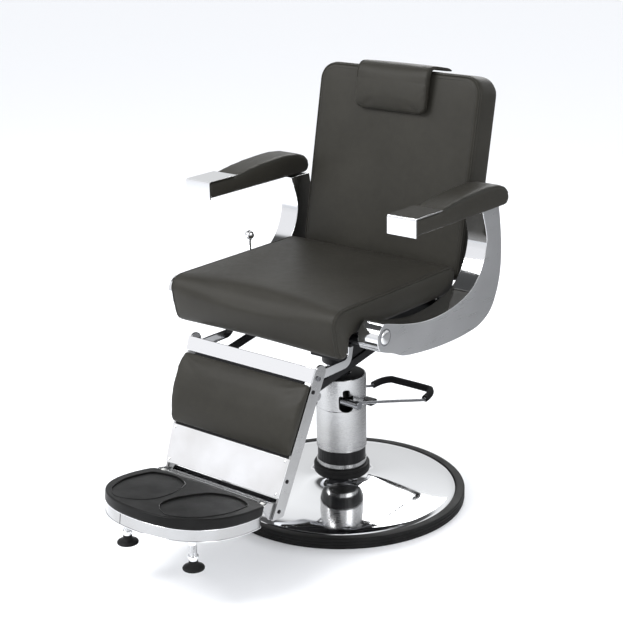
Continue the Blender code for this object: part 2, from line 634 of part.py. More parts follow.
# ---- footrest -----------------------------------------------------------------------------------
def step_outline(inset):
    """The footrest seen from above, rear edge at y = 0 and front towards -y."""
    half, long = STEP_X - inset, STEP_LONG - inset
    reach = long - STEP_WIDEST
    right = [(half * 0.900, 0.0), (half * 0.955, -0.006), (half * 0.988, -0.028)]
    steps = 14
    for i in range(steps + 1):
        angle = math.pi / 2 * i / steps
        across = half * math.cos(angle) ** (2 / STEP_POWER)
        forward = STEP_WIDEST + reach * math.sin(angle) ** (2 / STEP_POWER)
        right.append((across, -forward))
    return right + [(-a, b) for a, b in reversed(right[:-1])]


def make_footrest():
    tread = outline_solid("footrest_tread", RUBBER, step_outline(0), -TREAD_T, 0, STEP_FRAME, 0.003)
    soles = []
    for side in (1, -1):
        ring = [(side * 0.086 + 0.074 * math.cos(a), -0.122 + 0.101 * math.sin(a)) for a in
                [2 * math.pi * i / 24 for i in range(24)]]
        soles.append(outline_solid("sole", RUBBER, ring, -0.003, 0.01, STEP_FRAME))
    cut(tread, *soles)
    top = -TREAD_T - GAP
    pan = outline_solid("footrest_pan", CHROME, step_outline(0.004), top - PAN_T, top, STEP_FRAME, 0.002)
    y, z = STEP_HINGE
    knuckle = cross_rod("knuckle", CHROME, STEP_HINGE, -0.150, 0.150, 0.0105, 20)
    web = [(y - 0.002, z - 0.004), (y - 0.0125, z - 0.004), (y - 0.0135, z - 0.012), (y - 0.028, z - 0.014)]
    web += [(y - 0.028, z - 0.030), (y - 0.002, z - 0.030)]
    web = outline_solid("web", CHROME, web, -0.150, 0.150, SIDE)
    leaf = box("leaf", CHROME, (-0.150, -0.5150, 0.2035), (0.150, -0.4870, 0.2068))
    pan = join(pan, web, knuckle, leaf)
    holes = [cross_rod("hole", CHROME, STEP_HINGE, -0.2, 0.2, 0.0060 + GAP, 16)]
    for side in (1, -1):
        x, gy = side * GLIDE_XY[0], GLIDE_XY[1]
        holes.append(rod("hole", CHROME, (x, gy, 0.15), (x, gy, 0.2095), 0.0095 + GAP, 20))
    cut(pan, *holes)
    cross_rod("footrest_hinge_rod", STEEL, STEP_HINGE, -0.1745, 0.1745, 0.0060, 16)


def make_step_bracket(side, ending):
    """The plate at the foot of a side bar that carries the footrest's hinge rod."""
    low, high = span(side, (0.1934, 0.1986))
    y, z = STEP_HINGE
    points = [(-0.4700, 0.1560), (-0.4560, 0.1640), (-0.4640, 0.1960), (-0.4860, 0.2060)]
    points += arc((y, z), 0.0120, 60, 235, 8) + [(-0.5000, 0.1660)]
    plate = lean_in(outline_solid("footrest_bracket_" + ending, SATIN, points, low, high, SIDE), side)
    cut(plate, cross_rod("bore", SATIN, STEP_HINGE, *span(side, (0.16, 0.18)), 0.0060 + GAP, 16))


def make_glide(side, ending):
    x, y = side * GLIDE_XY[0], GLIDE_XY[1]
    foot = GLIDE_FOOT
    profile = [(0, foot + 0.0215), (0.0107, foot + 0.0215), (0.0113, foot + 0.0160), (0.0165, foot + 0.0100)]
    profile += [(0.0240, foot + 0.0062), (0.0260, foot + 0.0040), (0.0255, foot), (0, foot)]
    turned("glide_foot_" + ending, RUBBER, profile, steps=28, closed=False, centre=(x, y))
    rod("glide_stem_" + ending, CHROME, (x, y, foot + 0.0219), (x, y, 0.2000), 0.0095, 20)


def make_link(side, ending):
    front, rear = crank_end(LEG_YZ), crank_end(RECLINE_YZ)
    low, high = span(side, LINK_X)
    link = outline_solid("recline_link_" + ending, BLACK, bar_outline(front, rear, 0.0100), low, high, SIDE)
    holes = [cross_rod("hole", BLACK, place, *span(side, (0.15, 0.19)), 0.0040 + 0.0006, 12) for place in (front, rear)]
    cut(link, *holes)


# ---- bodies -------------------------------------------------------------------------------------
BODIES = {
    "lift": ((0, 0, RAM_Z[1]), ["ram", "swivel_bearing"]),
    "pump_lever": ((0, *PUMP_AXIS), ["pump_lever_"]),
    "seat": ((0, 0, RAM_Z[1]), ["swivel_hub", "seat_", "side_frame_", "armrest_", "legrest_bracket_",
                                "legrest_pin_", "recline_lever_pin"]),
    "recline_lever": ((LEVER_KNOB[0], LEVER_KNOB[1], LEVER_PIVOT_Z + 0.012), ["recline_lever_rod", "recline_lever_knob"]),
    "back": ((0, *RECLINE_YZ), ["backrest_"]),
    "headrest": ((0, *BACK_FOOT), ["headrest_"]),
    "legrest": ((0, *LEG_YZ), ["legrest_", "kick_plate", "footrest_bracket_", "footrest_hinge_rod"]),
    "link_left": ((LINK_X[0], *crank_end(LEG_YZ)), ["recline_link_left"]),
    "link_right": ((-LINK_X[0], *crank_end(LEG_YZ)), ["recline_link_right"]),
    "footrest": ((0, *STEP_HINGE), ["footrest_tread", "footrest_pan"]),
    "glide_left": ((GLIDE_XY[0], GLIDE_XY[1], GLIDE_FOOT), ["glide_foot_left", "glide_stem_left"]),
    "glide_right": ((-GLIDE_XY[0], GLIDE_XY[1], GLIDE_FOOT), ["glide_foot_right", "glide_stem_right"]),
}


def parent_to_bodies():
    """Hangs each moving piece on an empty that stands on its joint's axis."""
    free = [obj for obj in PARTS.objects if obj.type == "MESH"]
    for body, (place, starts) in BODIES.items():
        empty = bpy.data.objects.new("body_" + body, None)
        empty.location = place
        PARTS.objects.link(empty)
        for obj in list(free):
            if obj.name.startswith(tuple(starts)):
                obj.parent = empty
                obj.matrix_parent_inverse = Matrix.Translation(-Vector(place))
                free.remove(obj)


make_base()
make_pump()
make_pump_lever()
make_seat_frame()
make_seat_cushion()
mirrored_pair(make_arm)
make_recline_lever()
make_back()
make_headrest()
make_leg_rest()
make_footrest()
mirrored_pair(make_step_bracket)
mirrored_pair(make_glide)
mirrored_pair(make_link)
parent_to_bodies()
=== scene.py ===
"""Looks of the hydraulic barber chair: its cushions, chrome, rubber and small hardware."""

import json
import math

import bmesh
import bpy
import numpy
from mathutils import Matrix, Vector
from mathutils.bvhtree import BVHTree

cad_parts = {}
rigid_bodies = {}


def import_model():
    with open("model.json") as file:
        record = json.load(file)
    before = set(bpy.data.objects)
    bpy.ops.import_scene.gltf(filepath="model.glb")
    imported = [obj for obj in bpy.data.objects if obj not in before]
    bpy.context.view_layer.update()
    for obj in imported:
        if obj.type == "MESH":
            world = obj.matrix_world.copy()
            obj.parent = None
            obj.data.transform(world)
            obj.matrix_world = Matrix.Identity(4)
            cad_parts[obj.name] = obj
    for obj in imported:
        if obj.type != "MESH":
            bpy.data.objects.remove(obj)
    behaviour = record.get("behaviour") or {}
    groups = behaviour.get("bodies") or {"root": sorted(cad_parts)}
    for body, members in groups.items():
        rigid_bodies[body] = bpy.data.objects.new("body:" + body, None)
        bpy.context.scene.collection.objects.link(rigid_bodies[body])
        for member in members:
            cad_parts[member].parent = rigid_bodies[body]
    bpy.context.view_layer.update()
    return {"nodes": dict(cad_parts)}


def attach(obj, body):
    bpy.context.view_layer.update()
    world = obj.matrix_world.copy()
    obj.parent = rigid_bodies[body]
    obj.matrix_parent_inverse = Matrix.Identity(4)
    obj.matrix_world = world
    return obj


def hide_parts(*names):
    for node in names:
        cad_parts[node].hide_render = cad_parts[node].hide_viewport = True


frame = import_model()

NODES = frame["nodes"]

# ---- sizes shared with the solids, in metres ----------------------------------------------------
SHROUD_R = 0.0667
SHROUD_Z = (0.147, 0.350)
PUMP_AXIS = (-0.045, 0.292)
SEAT_X = 0.267
ARM_X = (0.282, 0.365)
ARM_Z = (0.811, 0.858)
ARM_FRONT = -0.178
CFRAME_X = (0.279, 0.337)
BOLT_YZ = (-0.259, 0.588)
BACK_FOOT = (0.159, 0.654)
BACK_TILT = math.radians(10.9)
BACK_X = 0.262
BACK_LOW = -0.050
BACK_H = 0.478
HEAD_X = 0.116
LEG_YZ = (-0.347, 0.482)
LEG_TOP = (-0.356, 0.510)
LEG_TILT = math.radians(22.9)
LEG_TAPER = 0.065
SIDE_BAR_X = (0.199, 0.205)
BAR_SET_BACK = 0.006
STEP_REAR = (-0.520, 0.2156)
STEP_TILT = math.radians(8.0)
STEP_X = 0.190
STEP_LONG = 0.2525
STEP_WIDEST = 0.065
STEP_POWER = 2.4
STEP_HINGE = (-0.509, 0.200)
GLIDE_XY = (0.108, -0.692)
GLIDE_FOOT = 0.098
LEVER_KNOB = (-0.2735, -0.039, 0.691)
LEVER_AXIS_Z = 0.552


# ---- frames -------------------------------------------------------------------------------------
def frame_of(origin, x_axis, y_axis):
    x_axis, y_axis = Vector(x_axis), Vector(y_axis)
    made = Matrix((x_axis, y_axis, x_axis.cross(y_axis))).transposed().to_4x4()
    made.translation = origin
    return made


FLAT = Matrix.Identity(4)
SIDE = frame_of((0, 0, 0), (0, 1, 0), (0, 0, 1))
BACK_UP = Vector((0, math.sin(BACK_TILT), math.cos(BACK_TILT)))
BACK_REARWARD = Vector((0, math.cos(BACK_TILT), -math.sin(BACK_TILT)))
BACK_FACE = frame_of((0, *BACK_FOOT), (1, 0, 0), BACK_UP)
BACK_SIDE = frame_of((0, *BACK_FOOT), BACK_REARWARD, BACK_UP)
LEG_DOWN = Vector((0, -math.sin(LEG_TILT), -math.cos(LEG_TILT)))
LEG_FORWARD = Vector((0, -math.cos(LEG_TILT), math.sin(LEG_TILT)))
LEG_FACE = frame_of((0, *LEG_TOP), (1, 0, 0), -LEG_DOWN)
STEP_FRAME = Matrix.Translation((0, *STEP_REAR)) @ Matrix.Rotation(-STEP_TILT, 4, "X")


# ---- shader expressions -------------------------------------------------------------------------
class Wire:
    """A node's output that takes part in sums, as a number would."""

    def __init__(self, tree, socket):
        self.tree, self.socket = tree, socket

    def _maths(self, operation, first, second):
        return self.tree.node("ShaderNodeMath", {"operation": operation}, {0: first, 1: second})

    def __add__(self, other):
        return self._maths("ADD", self, other)

    def __radd__(self, other):
        return self._maths("ADD", other, self)

    def __sub__(self, other):
        return self._maths("SUBTRACT", self, other)

    def __rsub__(self, other):
        return self._maths("SUBTRACT", other, self)

    def __mul__(self, other):
        return self._maths("MULTIPLY", self, other)

    def __rmul__(self, other):
        return self._maths("MULTIPLY", other, self)

    def __gt__(self, other):
        return self._maths("GREATER_THAN", self, other)


class Shading:
    """A node tree under construction."""

    def __init__(self, tree):
        self.tree = tree

    def node(self, kind, settings=(), inputs=(), output=0):
        made = self.tree.nodes.new(kind)
        settings = dict(settings)
        stops = settings.pop("stops", None)
        for key, value in settings.items():
            setattr(made, key, value)
        if stops:
            ramp = made.color_ramp
            for i, (place, shade) in enumerate(stops):
                stop = ramp.elements[i] if i < 2 else ramp.elements.new(place)
                stop.position, stop.color = place, (*shade, 1.0)
        for key, value in dict(inputs).items():
            if isinstance(value, Wire):
                self.tree.links.new(value.socket, made.inputs[key])
            else:
                made.inputs[key].default_value = value
        return Wire(self, made.outputs[output])

    def between(self, value, low, high, to_low, to_high):
        return self.node("ShaderNodeMapRange", {},
                         {0: value, 1: low, 2: high, 3: to_low, 4: to_high})

    def axis(self, vector, name):
        return self.node("ShaderNodeSeparateXYZ", {}, {0: vector}, output=name)

    def shades(self, value, *stops):
        return self.node("ShaderNodeValToRGB", {"stops": stops}, {0: value})


class Finish(Shading):
    """A material under construction, with its Principled shader."""

    def __init__(self, name, colour, roughness, metallic=0.0, specular=0.5):
        self.material = bpy.data.materials.new(name)
        self.material.use_nodes = True
        self.material.diffuse_color = (*colour, 1.0)
        super().__init__(self.material.node_tree)
        self.shader = self.tree.nodes["Principled BSDF"]
        self.shader.inputs["Base Color"].default_value = (*colour, 1.0)
        self.shader.inputs["Roughness"].default_value = roughness
        self.shader.inputs["Metallic"].default_value = metallic
        self.shader.inputs["Specular IOR Level"].default_value = specular

    def place(self):
        return self.node("ShaderNodeTexCoord", output="Object")

    def stretched(self, scale):
        return self.node("ShaderNodeMapping", {}, {"Vector": self.place(), "Scale": scale})

    def noise(self, scale, detail=3.0, rough=0.5, where=None):
        return self.node("ShaderNodeTexNoise", {},
                         {"Vector": where or self.place(), "Scale": scale, "Detail": detail,
                          "Roughness": rough})

    def cells(self, scale, feature="F1", where=None):
        return self.node("ShaderNodeTexVoronoi", {"feature": feature},
                         {"Vector": where or self.place(), "Scale": scale})

    def give(self, socket, value):
        self.tree.links.new(value.socket, self.shader.inputs[socket])
        return self

    def bump(self, height, distance, strength=1.0, under=None):
        inputs = {"Height": height, "Distance": distance, "Strength": strength}
        if under:
            inputs["Normal"] = under
        made = self.node("ShaderNodeBump", {}, inputs)
        self.give("Normal", made)
        return made


def leather():
    base = (0.0265, 0.0250, 0.0208)
    skin = Finish("upholstery_leather", base, 0.44, specular=0.16)
    cloud = skin.noise(5.0, 3.0)
    fine = skin.noise(60.0, 4.0)
    worn = cloud * 0.7 + fine * 0.3
    low = tuple(c * 0.86 for c in base)
    high = tuple(c * 1.16 for c in base)
    skin.give("Base Color", skin.shades(worn, (0.35, low), (0.65, high)))
    skin.give("Roughness", skin.between(fine * 0.5 + cloud * 0.5, 0.3, 0.7, 0.38, 0.50))
    grain = skin.cells(520.0, "DISTANCE_TO_EDGE")
    pores = skin.between(grain, 0.0, 0.22, 0.0, 1.0)
    broad = skin.bump(skin.noise(14.0, 2.0), 0.0016, 0.5)
    skin.bump(pores + skin.noise(240.0, 2.0) * 0.6, 0.00016, 0.55, broad)
    return skin.material


def polished_chrome():
    shade, rough = 0.84, 0.035
    metal = Finish("polished_chrome", (shade, shade * 1.008, shade * 1.025), rough, 1.0)
    smear = metal.noise(9.0, 3.0)
    metal.give("Roughness", metal.between(smear, 0.35, 0.75, rough, rough + 0.05))
    metal.bump(metal.noise(55.0, 1.0), 0.00008, 0.25)
    return metal.material


def satin_casting():
    metal = Finish("satin_casting", (0.60, 0.61, 0.63), 0.25, 1.0)
    facing = metal.axis(metal.node("ShaderNodeNewGeometry", output="Normal"), "X")
    outside = facing * metal.axis(metal.place(), "X") > 0.0
    flat = (metal.node("ShaderNodeMath", {"operation": "ABSOLUTE"}, {0: facing}) > 0.93) * outside
    brushed = metal.noise(60.0, 4.0, 0.6, metal.stretched((1.0, 0.12, 3.0)))
    rough = metal.between(brushed, 0.3, 0.7, 0.26, 0.36)
    metal.give("Roughness", flat * rough + (1.0 - flat) * 0.06)
    tone = metal.between(metal.noise(4.0, 2.0), 0.35, 0.65, 0.66, 0.82)
    mixed = flat * tone + (1.0 - flat) * 0.76
    metal.give("Base Color", metal.node("ShaderNodeCombineColor", {},
                                        {0: mixed, 1: mixed * 1.01, 2: mixed * 1.03}))
    metal.bump(brushed * flat, 0.00006, 0.4)
    return metal.material


def brushed_bar(name="brushed_bar", run=(3.0, 0.15, 0.15), shade=0.46, rough=(0.18, 0.30)):
    metal = Finish(name, (shade, shade * 1.01, shade * 1.03), rough[0], 1.0)
    lines = metal.noise(220.0, 3.0, 0.6, metal.stretched(run))
    metal.give("Roughness", metal.between(lines, 0.3, 0.7, *rough))
    low, high = (shade * 0.9,) * 3, (shade * 1.06, shade * 1.07, shade * 1.09)
    metal.give("Base Color", metal.shades(metal.noise(7.0, 3.0), (0.35, low), (0.65, high)))
    metal.bump(lines, 0.00004, 0.4)
    return metal.material


def rubber(name="moulded_rubber", shade=0.008, rough=0.50):
    skin = Finish(name, (shade, shade, shade * 1.04), rough, specular=0.14)
    dust = skin.noise(16.0, 4.0)
    skin.give("Base Color",
              skin.shades(dust, (0.35, (shade * 0.8,) * 3), (0.75, (shade * 1.7,) * 3)))
    skin.give("Roughness", skin.between(dust, 0.3, 0.7, rough - 0.06, rough + 0.12))
    skin.bump(skin.noise(900.0, 2.0), 0.00012, 0.5)
    return skin.material


def black_paint():
    coat = Finish("satin_black_paint", (0.007, 0.007, 0.008), 0.34, specular=0.2)
    scuffs = coat.noise(20.0, 5.0, 0.6)
    coat.give("Roughness", coat.between(scuffs, 0.3, 0.7, 0.27, 0.46))
    coat.bump(coat.noise(320.0, 2.0), 0.0001, 0.5)
    return coat.material


def foam_grip():
    foam = Finish("black_foam", (0.007, 0.007, 0.008), 0.72, specular=0.12)
    cells = foam.cells(900.0)
    foam.give("Roughness", foam.between(cells, 0.0, 0.6, 0.62, 0.85))
    foam.bump(cells, 0.0003, 0.6)
    return foam.material


def turned_steel():
    metal = Finish("turned_steel", (0.26, 0.265, 0.28), 0.24, 1.0)
    rings = metal.noise(500.0, 2.0, 0.5, metal.stretched((0.1, 0.1, 4.0)))
    metal.give("Roughness", metal.between(rings, 0.3, 0.7, 0.18, 0.34))
    metal.bump(rings, 0.00004, 0.5)
    return metal.material


def plain_plastic(name, shade, rough):
    plastic = Finish(name, shade, rough)
    haze = plastic.noise(40.0, 3.0)
    plastic.give("Roughness", plastic.between(haze, 0.3, 0.7, rough - 0.05, rough + 0.08))
    return plastic.material


LEATHER = leather()
THREAD = plain_plastic("waxed_thread", (0.020, 0.019, 0.017), 0.55)
CHROME = polished_chrome()
CASTING = satin_casting()
BAR = brushed_bar()
KICK = brushed_bar("brushed_kick_plate", (0.12, 3.0, 3.0), 0.86, (0.13, 0.24))
RUBBER = rubber()
TREAD = rubber("tread_rubber", 0.006, 0.42)
PAINT = black_paint()
FOAM = foam_grip()
STEEL = turned_steel()
SHROUD = brushed_bar("brushed_shroud", (0.2, 0.2, 3.0), 0.50, (0.24, 0.29))
BAND = brushed_bar("brushed_band", (0.3, 0.3, 3.0), 0.46, (0.16, 0.24))
NYLON = plain_plastic("white_nylon", (0.62, 0.62, 0.60), 0.4)


# ---- making pieces ------------------------------------------------------------------------------
def collect(name, mesh, paint):
    mesh.materials.clear()
    mesh.materials.append(paint)
    obj = bpy.data.objects.new(name, mesh)
    bpy.context.scene.collection.objects.link(obj)
    return obj


def realised(obj, paint=None):
    """A plain mesh object in place of one with modifiers, a curve or a placed one."""
    bpy.context.view_layer.update()
    graph = bpy.context.evaluated_depsgraph_get()
    mesh = bpy.data.meshes.new_from_object(obj.evaluated_get(graph))
    mesh.transform(obj.matrix_world)
    name = obj.name
    bpy.data.objects.remove(obj, do_unlink=True)
    mesh.name = name
    return collect(name, mesh, paint or mesh.materials[0])


def outward(mesh):
    work = bmesh.new()
    work.from_mesh(mesh)
    bmesh.ops.remove_doubles(work, verts=work.verts, dist=1e-6)
    bmesh.ops.recalc_face_normals(work, faces=work.faces)
    work.to_mesh(mesh)
    work.free()


def shade(obj, angle=35.0):
    obj.data.shade_smooth()
    obj.data.set_sharp_from_angle(angle=math.radians(angle))
    return obj


def even(obj, angle):
    """Smooth shading in which each large flat face keeps its own direction."""
    shade(obj, angle)
    weigh = obj.modifiers.new("weigh", "WEIGHTED_NORMAL")
    weigh.keep_sharp = True
    return realised(obj)


def rounded(obj, width, segments=3, angle=32.0):
    bevel = obj.modifiers.new("edge", "BEVEL")
    bevel.width = width
    bevel.segments = segments
    bevel.limit_method = "ANGLE"
    bevel.angle_limit = math.radians(angle)
    return even(realised(obj), 40.0)


def arc(centre, radius, start, end, steps):
    made = []
    for i in range(steps + 1):
        angle = math.radians(start + (end - start) * i / steps)
        made.append((centre[0] + radius * math.cos(angle), centre[1] + radius * math.sin(angle)))
    return made


def flowing(points, steps=6, closed=True):
    """Points on a smooth curve through the given ones."""
    count, made = len(points), []
    vectors = [Vector(p) for p in points]
    spans = count if closed else count - 1

    def at(i):
        return vectors[i % count] if closed else vectors[min(max(i, 0), count - 1)]

    for i in range(spans):
        a, b, c, d = at(i - 1), at(i), at(i + 1), at(i + 2)
        for k in range(steps):
            t = k / steps
            point = 0.5 * (2 * b + (c - a) * t + (2 * a - 5 * b + 4 * c - d) * t ** 2
                           + (3 * b - a - 3 * c + d) * t ** 3)
            made.append(tuple(point))
    if not closed:
        made.append(tuple(vectors[-1]))
    return made


def plate(name, paint, outline, low, high, where, edge=0.0, segments=3):
    """An outline given a thickness along the third axis of its frame."""
    work = bmesh.new()
    face = work.faces.new([work.verts.new((a, b, low)) for a, b in outline])
    grown = bmesh.ops.extrude_face_region(work, geom=[face])
    for vert in grown["geom"]:
        if isinstance(vert, bmesh.types.BMVert):
            vert.co.z = high
    bmesh.ops.recalc_face_normals(work, faces=work.faces)
    work.transform(where)
    mesh = bpy.data.meshes.new(name)
    work.to_mesh(mesh)
    work.free()
    obj = collect(name, mesh, paint)
    return rounded(obj, edge, segments) if edge else shade(obj)


def lathe(name, paint, profile, steps=128, centre=(0.0, 0.0, 0.0), where=None, angle=38.0):
    """A profile of (radius, height) points turned round a vertical axis."""
    rings = []
    work = bmesh.new()
    for radius, height in profile:
        if radius < 1e-6:
            rings.append([work.verts.new((0, 0, height))])
        else:
            rings.append([work.verts.new((radius * math.cos(2 * math.pi * i / steps),
                                          radius * math.sin(2 * math.pi * i / steps), height))
                          for i in range(steps)])
    pairs = list(zip(rings, rings[1:]))
    if profile[0][0] > 1e-6 and profile[-1][0] > 1e-6:
        pairs.append((rings[-1], rings[0]))
    for first, second in pairs:
        for i in range(steps):
            k = (i + 1) % steps
            around = (first[i % len(first)], first[k % len(first)], second[k % len(second)],
                      second[i % len(second)])
            corners = list(dict.fromkeys(around))
            if len(corners) > 2:
                work.faces.new(corners)
    bmesh.ops.recalc_face_normals(work, faces=work.faces)
    work.transform(Matrix.Translation(centre) @ (where or FLAT))
    mesh = bpy.data.meshes.new(name)
    work.to_mesh(mesh)
    work.free()
    return shade(collect(name, mesh, paint), angle)


def sleeve(bore, outer, half, ease, ease_along=None):
    """The section of a cylinder, drilled or solid, with eased ends."""
    top = [(bore, half), (outer - ease, half), (outer, half - (ease_along or ease))]
    return top + [(r, -h) for r, h in reversed(top)]


def rod(radius, high, low):
    return [(0, high), (radius, high), (radius, low), (0, low)]


def facing(direction):
    """Turns +Z to a direction."""
    return Vector((0, 0, 1)).rotation_difference(Vector(direction)).to_matrix().to_4x4()


def tube(name, paint, points, radius, closed=False, sides=3):
    curve = bpy.data.curves.new(name, "CURVE")
    curve.dimensions = "3D"
    curve.bevel_depth = radius
    curve.bevel_resolution = sides
    curve.use_fill_caps = not closed
    spline = curve.splines.new("POLY")
    spline.points.add(len(points) - 1)
    for point, place in zip(spline.points, points):
        point.co = (*place, 1)
    spline.use_cyclic_u = closed
    obj = bpy.data.objects.new(name, curve)
    bpy.context.scene.collection.objects.link(obj)
    obj = realised(obj, paint)
    outward(obj.data)
    return shade(obj, 50.0)


def merged(name, paint, objs):
    """Several plain meshes as one piece."""
    work = bmesh.new()
    for obj in objs:
        work.from_mesh(obj.data)
        bpy.data.objects.remove(obj, do_unlink=True)
    mesh = bpy.data.meshes.new(name)
    work.to_mesh(mesh)
    work.free()
    return shade(collect(name, mesh, paint), 38.0)


def cut(obj, cutters):
    for cutter in cutters:
        change = obj.modifiers.new("cut", "BOOLEAN")
        change.operation, change.solver, change.object = "DIFFERENCE", "EXACT", cutter
        obj = realised(obj)
        bpy.data.objects.remove(cutter, do_unlink=True)
    return even(obj, 35.0)


def span(side, pair):
    return sorted((side * pair[0], side * pair[1]))


def stands_for(obj, body, slot, *nodes):
    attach(obj, body)
    if nodes:
        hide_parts(*nodes)
    return obj


BOTH = ((1, "left"), (-1, "right"))


# ---- repeated small things ----------------------------------------------------------------------
class Grower:
    """A geometry tree under construction, with named inputs for its sizes."""

    def __init__(self, name, **sizes):
        self.tree = bpy.data.node_groups.new(name, "GeometryNodeTree")
        face = self.tree.interface
        face.new_socket("Geometry", in_out="INPUT", socket_type="NodeSocketGeometry")
        self.ids = {}
        for key, value in sizes.items():
            socket = face.new_socket(key, in_out="INPUT", socket_type="NodeSocketFloat")
            socket.default_value = value
            self.ids[key] = socket.identifier
        face.new_socket("Geometry", in_out="OUTPUT", socket_type="NodeSocketGeometry")
        self.start = self.tree.nodes.new("NodeGroupInput")
        self.end = self.tree.nodes.new("NodeGroupOutput")

    def node(self, kind, settings=(), inputs=()):
        made = self.tree.nodes.new(kind)
        for key, value in dict(settings).items():
            setattr(made, key, value)
        for key, value in dict(inputs).items():
            if isinstance(value, bpy.types.NodeSocket):
                self.tree.links.new(value, made.inputs[key])
            else:
                made.inputs[key].default_value = value
        return made.outputs

    def size(self, key):
        return self.start.outputs[key]

    def finish(self, shape):
        solid = self.node("GeometryNodeRealizeInstances", {}, {0: shape})[0]
        self.tree.links.new(solid, self.end.inputs[0])
        return self


def grown(obj, grower, paint, **sizes):
    """Runs the tree on the object and returns the plain mesh that it grows."""
    change = obj.modifiers.new("grow", "NODES")
    change.node_group = grower.tree
    for key, value in sizes.items():
        change[grower.ids[key]] = value
    return realised(obj, paint)


def screw_grower():
    """A domed head on every point, aimed by the point's own direction."""
    g = Grower("screw_heads", Radius=0.004, Height=0.0016)
    aim = g.node("GeometryNodeInputNamedAttribute", {"data_type": "FLOAT_VECTOR"},
                 {"Name": "aim"})[0]
    turn = g.node("FunctionNodeAlignRotationToVector", {"axis": "Z"}, {"Vector": aim})[0]
    head = g.node("GeometryNodeMeshCylinder", {}, {"Vertices": 20, "Radius": g.size("Radius"),
                                                   "Depth": g.size("Height")})[0]
    dome = g.node("GeometryNodeMeshUVSphere", {},
                  {"Segments": 20, "Rings": 8, "Radius": g.size("Radius")})[0]
    flat = g.node("GeometryNodeTransform", {}, {0: dome, "Scale": (0.86, 0.86, 0.30),
                                                "Translation": (0.0, 0.0, 0.0005)})[0]
    both = g.node("GeometryNodeJoinGeometry")
    g.tree.links.new(head, both[0].node.inputs[0])
    g.tree.links.new(flat, both[0].node.inputs[0])
    points = g.node("GeometryNodeInstanceOnPoints", {}, {0: g.start.outputs[0], "Instance": both[0],
                                                         "Rotation": turn})[0]
    return g.finish(points)


SCREWS = screw_grower()


def screws(name, paint, places, radius, height=0.0016):
    """places holds (point, direction) pairs."""
    mesh = bpy.data.meshes.new(name)
    mesh.from_pydata([p for p, _ in places], [], [])
    aim = mesh.attributes.new("aim", "FLOAT_VECTOR", "POINT")
    for i, (_, direction) in enumerate(places):
        aim.data[i].vector = direction
    return shade(grown(collect(name, mesh, paint), SCREWS, paint, Radius=radius, Height=height),
                 40.0)


def stitch_grower():
    g = Grower("stitch_row", Pitch=0.0045, Length=0.0030, Thick=0.0006)
    path = g.node("GeometryNodeMeshToCurve", {}, {0: g.start.outputs[0]})[0]
    even = g.node("GeometryNodeResampleCurve", {"mode": "LENGTH"},
                  {0: path, "Length": g.size("Pitch")})[0]
    along = g.node("GeometryNodeInputTangent")[0]
    turn = g.node("FunctionNodeAlignRotationToVector", {"axis": "Z"}, {"Vector": along})[0]
    thread = g.node("GeometryNodeMeshCylinder", {}, {"Vertices": 6, "Radius": g.size("Thick"),
                                                     "Depth": g.size("Length")})[0]
    copies = g.node("GeometryNodeInstanceOnPoints", {},
                    {0: even, "Instance": thread, "Rotation": turn})[0]
    return g.finish(copies)


STITCHES = stitch_grower()


def stitch_row(name, points, closed=False, **sizes):
    mesh = bpy.data.meshes.new(name)
    count = len(points)
    edges = [(i, i + 1) for i in range(count - 1)] + ([(count - 1, 0)] if closed else [])
    mesh.from_pydata([tuple(p) for p in points], edges, [])
    return shade(grown(collect(name, mesh, THREAD), STITCHES, THREAD, **sizes), 60.0)


# ---- cushions -----------------------------------------------------------------------------------
def gaps_to(points, lines):
    """Distance from each of an array of points to the nearest of some polylines."""
    best = numpy.full(len(points), 9.0)
    for line in lines:
        for a, b in zip(line, line[1:]):
            a, b = numpy.array(a), numpy.array(b)
            along = b - a
            share = numpy.clip((points - a) @ along / max(along @ along, 1e-12), 0.0, 1.0)
            best = numpy.minimum(best,
                                 numpy.linalg.norm(a + share[:, None] * along - points, axis=1))
    return best


def places_of(mesh):
    flat = numpy.empty(len(mesh.vertices) * 3)
    mesh.vertices.foreach_get("co", flat)
    return flat.reshape(-1, 3)


def stuffed(obj, voxel, cap, seams, hold=0.007, pressure=4.0, firm=None, soft=4):
    """Swells a closed form under inner pressure, held along its seams, and caps its travel."""
    remesh = obj.modifiers.new("even", "REMESH")
    remesh.mode, remesh.voxel_size = "VOXEL", voxel
    obj = realised(obj)
    mesh = obj.data
    held = obj.vertex_groups.new(name="held")
    near = gaps_to(places_of(mesh), seams) < hold
    grip = [v.index for v in mesh.vertices if near[v.index] or (firm and firm(v.co))]
    held.add(grip, 1.0, "REPLACE")
    before = [v.co.copy() for v in mesh.vertices]
    cloth = obj.modifiers.new("stuffing", "CLOTH")
    settings = cloth.settings
    settings.use_pressure = True
    settings.uniform_pressure_force = pressure
    settings.effector_weights.gravity = 0.0
    settings.quality = 5
    settings.mass = 0.4
    settings.tension_stiffness = settings.compression_stiffness = 12.0
    settings.bending_stiffness = 0.8
    settings.vertex_group_mass = "held"
    scene = bpy.context.scene
    for number in range(1, 21):
        scene.frame_set(number)
    graph = bpy.context.evaluated_depsgraph_get()
    swollen = obj.evaluated_get(graph).to_mesh()
    after = [v.co.copy() for v in swollen.vertices]
    obj.evaluated_get(graph).to_mesh_clear()
    obj.modifiers.remove(cloth)
    scene.frame_set(1)
    for vert, a, b in zip(mesh.vertices, before, after):
        move = b - a
        far = move.length
        if far > 1e-9:
            vert.co = a + move * (cap * (1 - math.exp(-far / cap)) / far)
    soften = obj.modifiers.new("soften", "SMOOTH")
    soften.iterations, soften.factor = soft, 0.5
    finer = obj.modifiers.new("finer", "SUBSURF")
    finer.levels = finer.render_levels = 1
    obj = realised(obj)
    obj.vertex_groups.clear()
    obj.data.shade_smooth()
    return obj


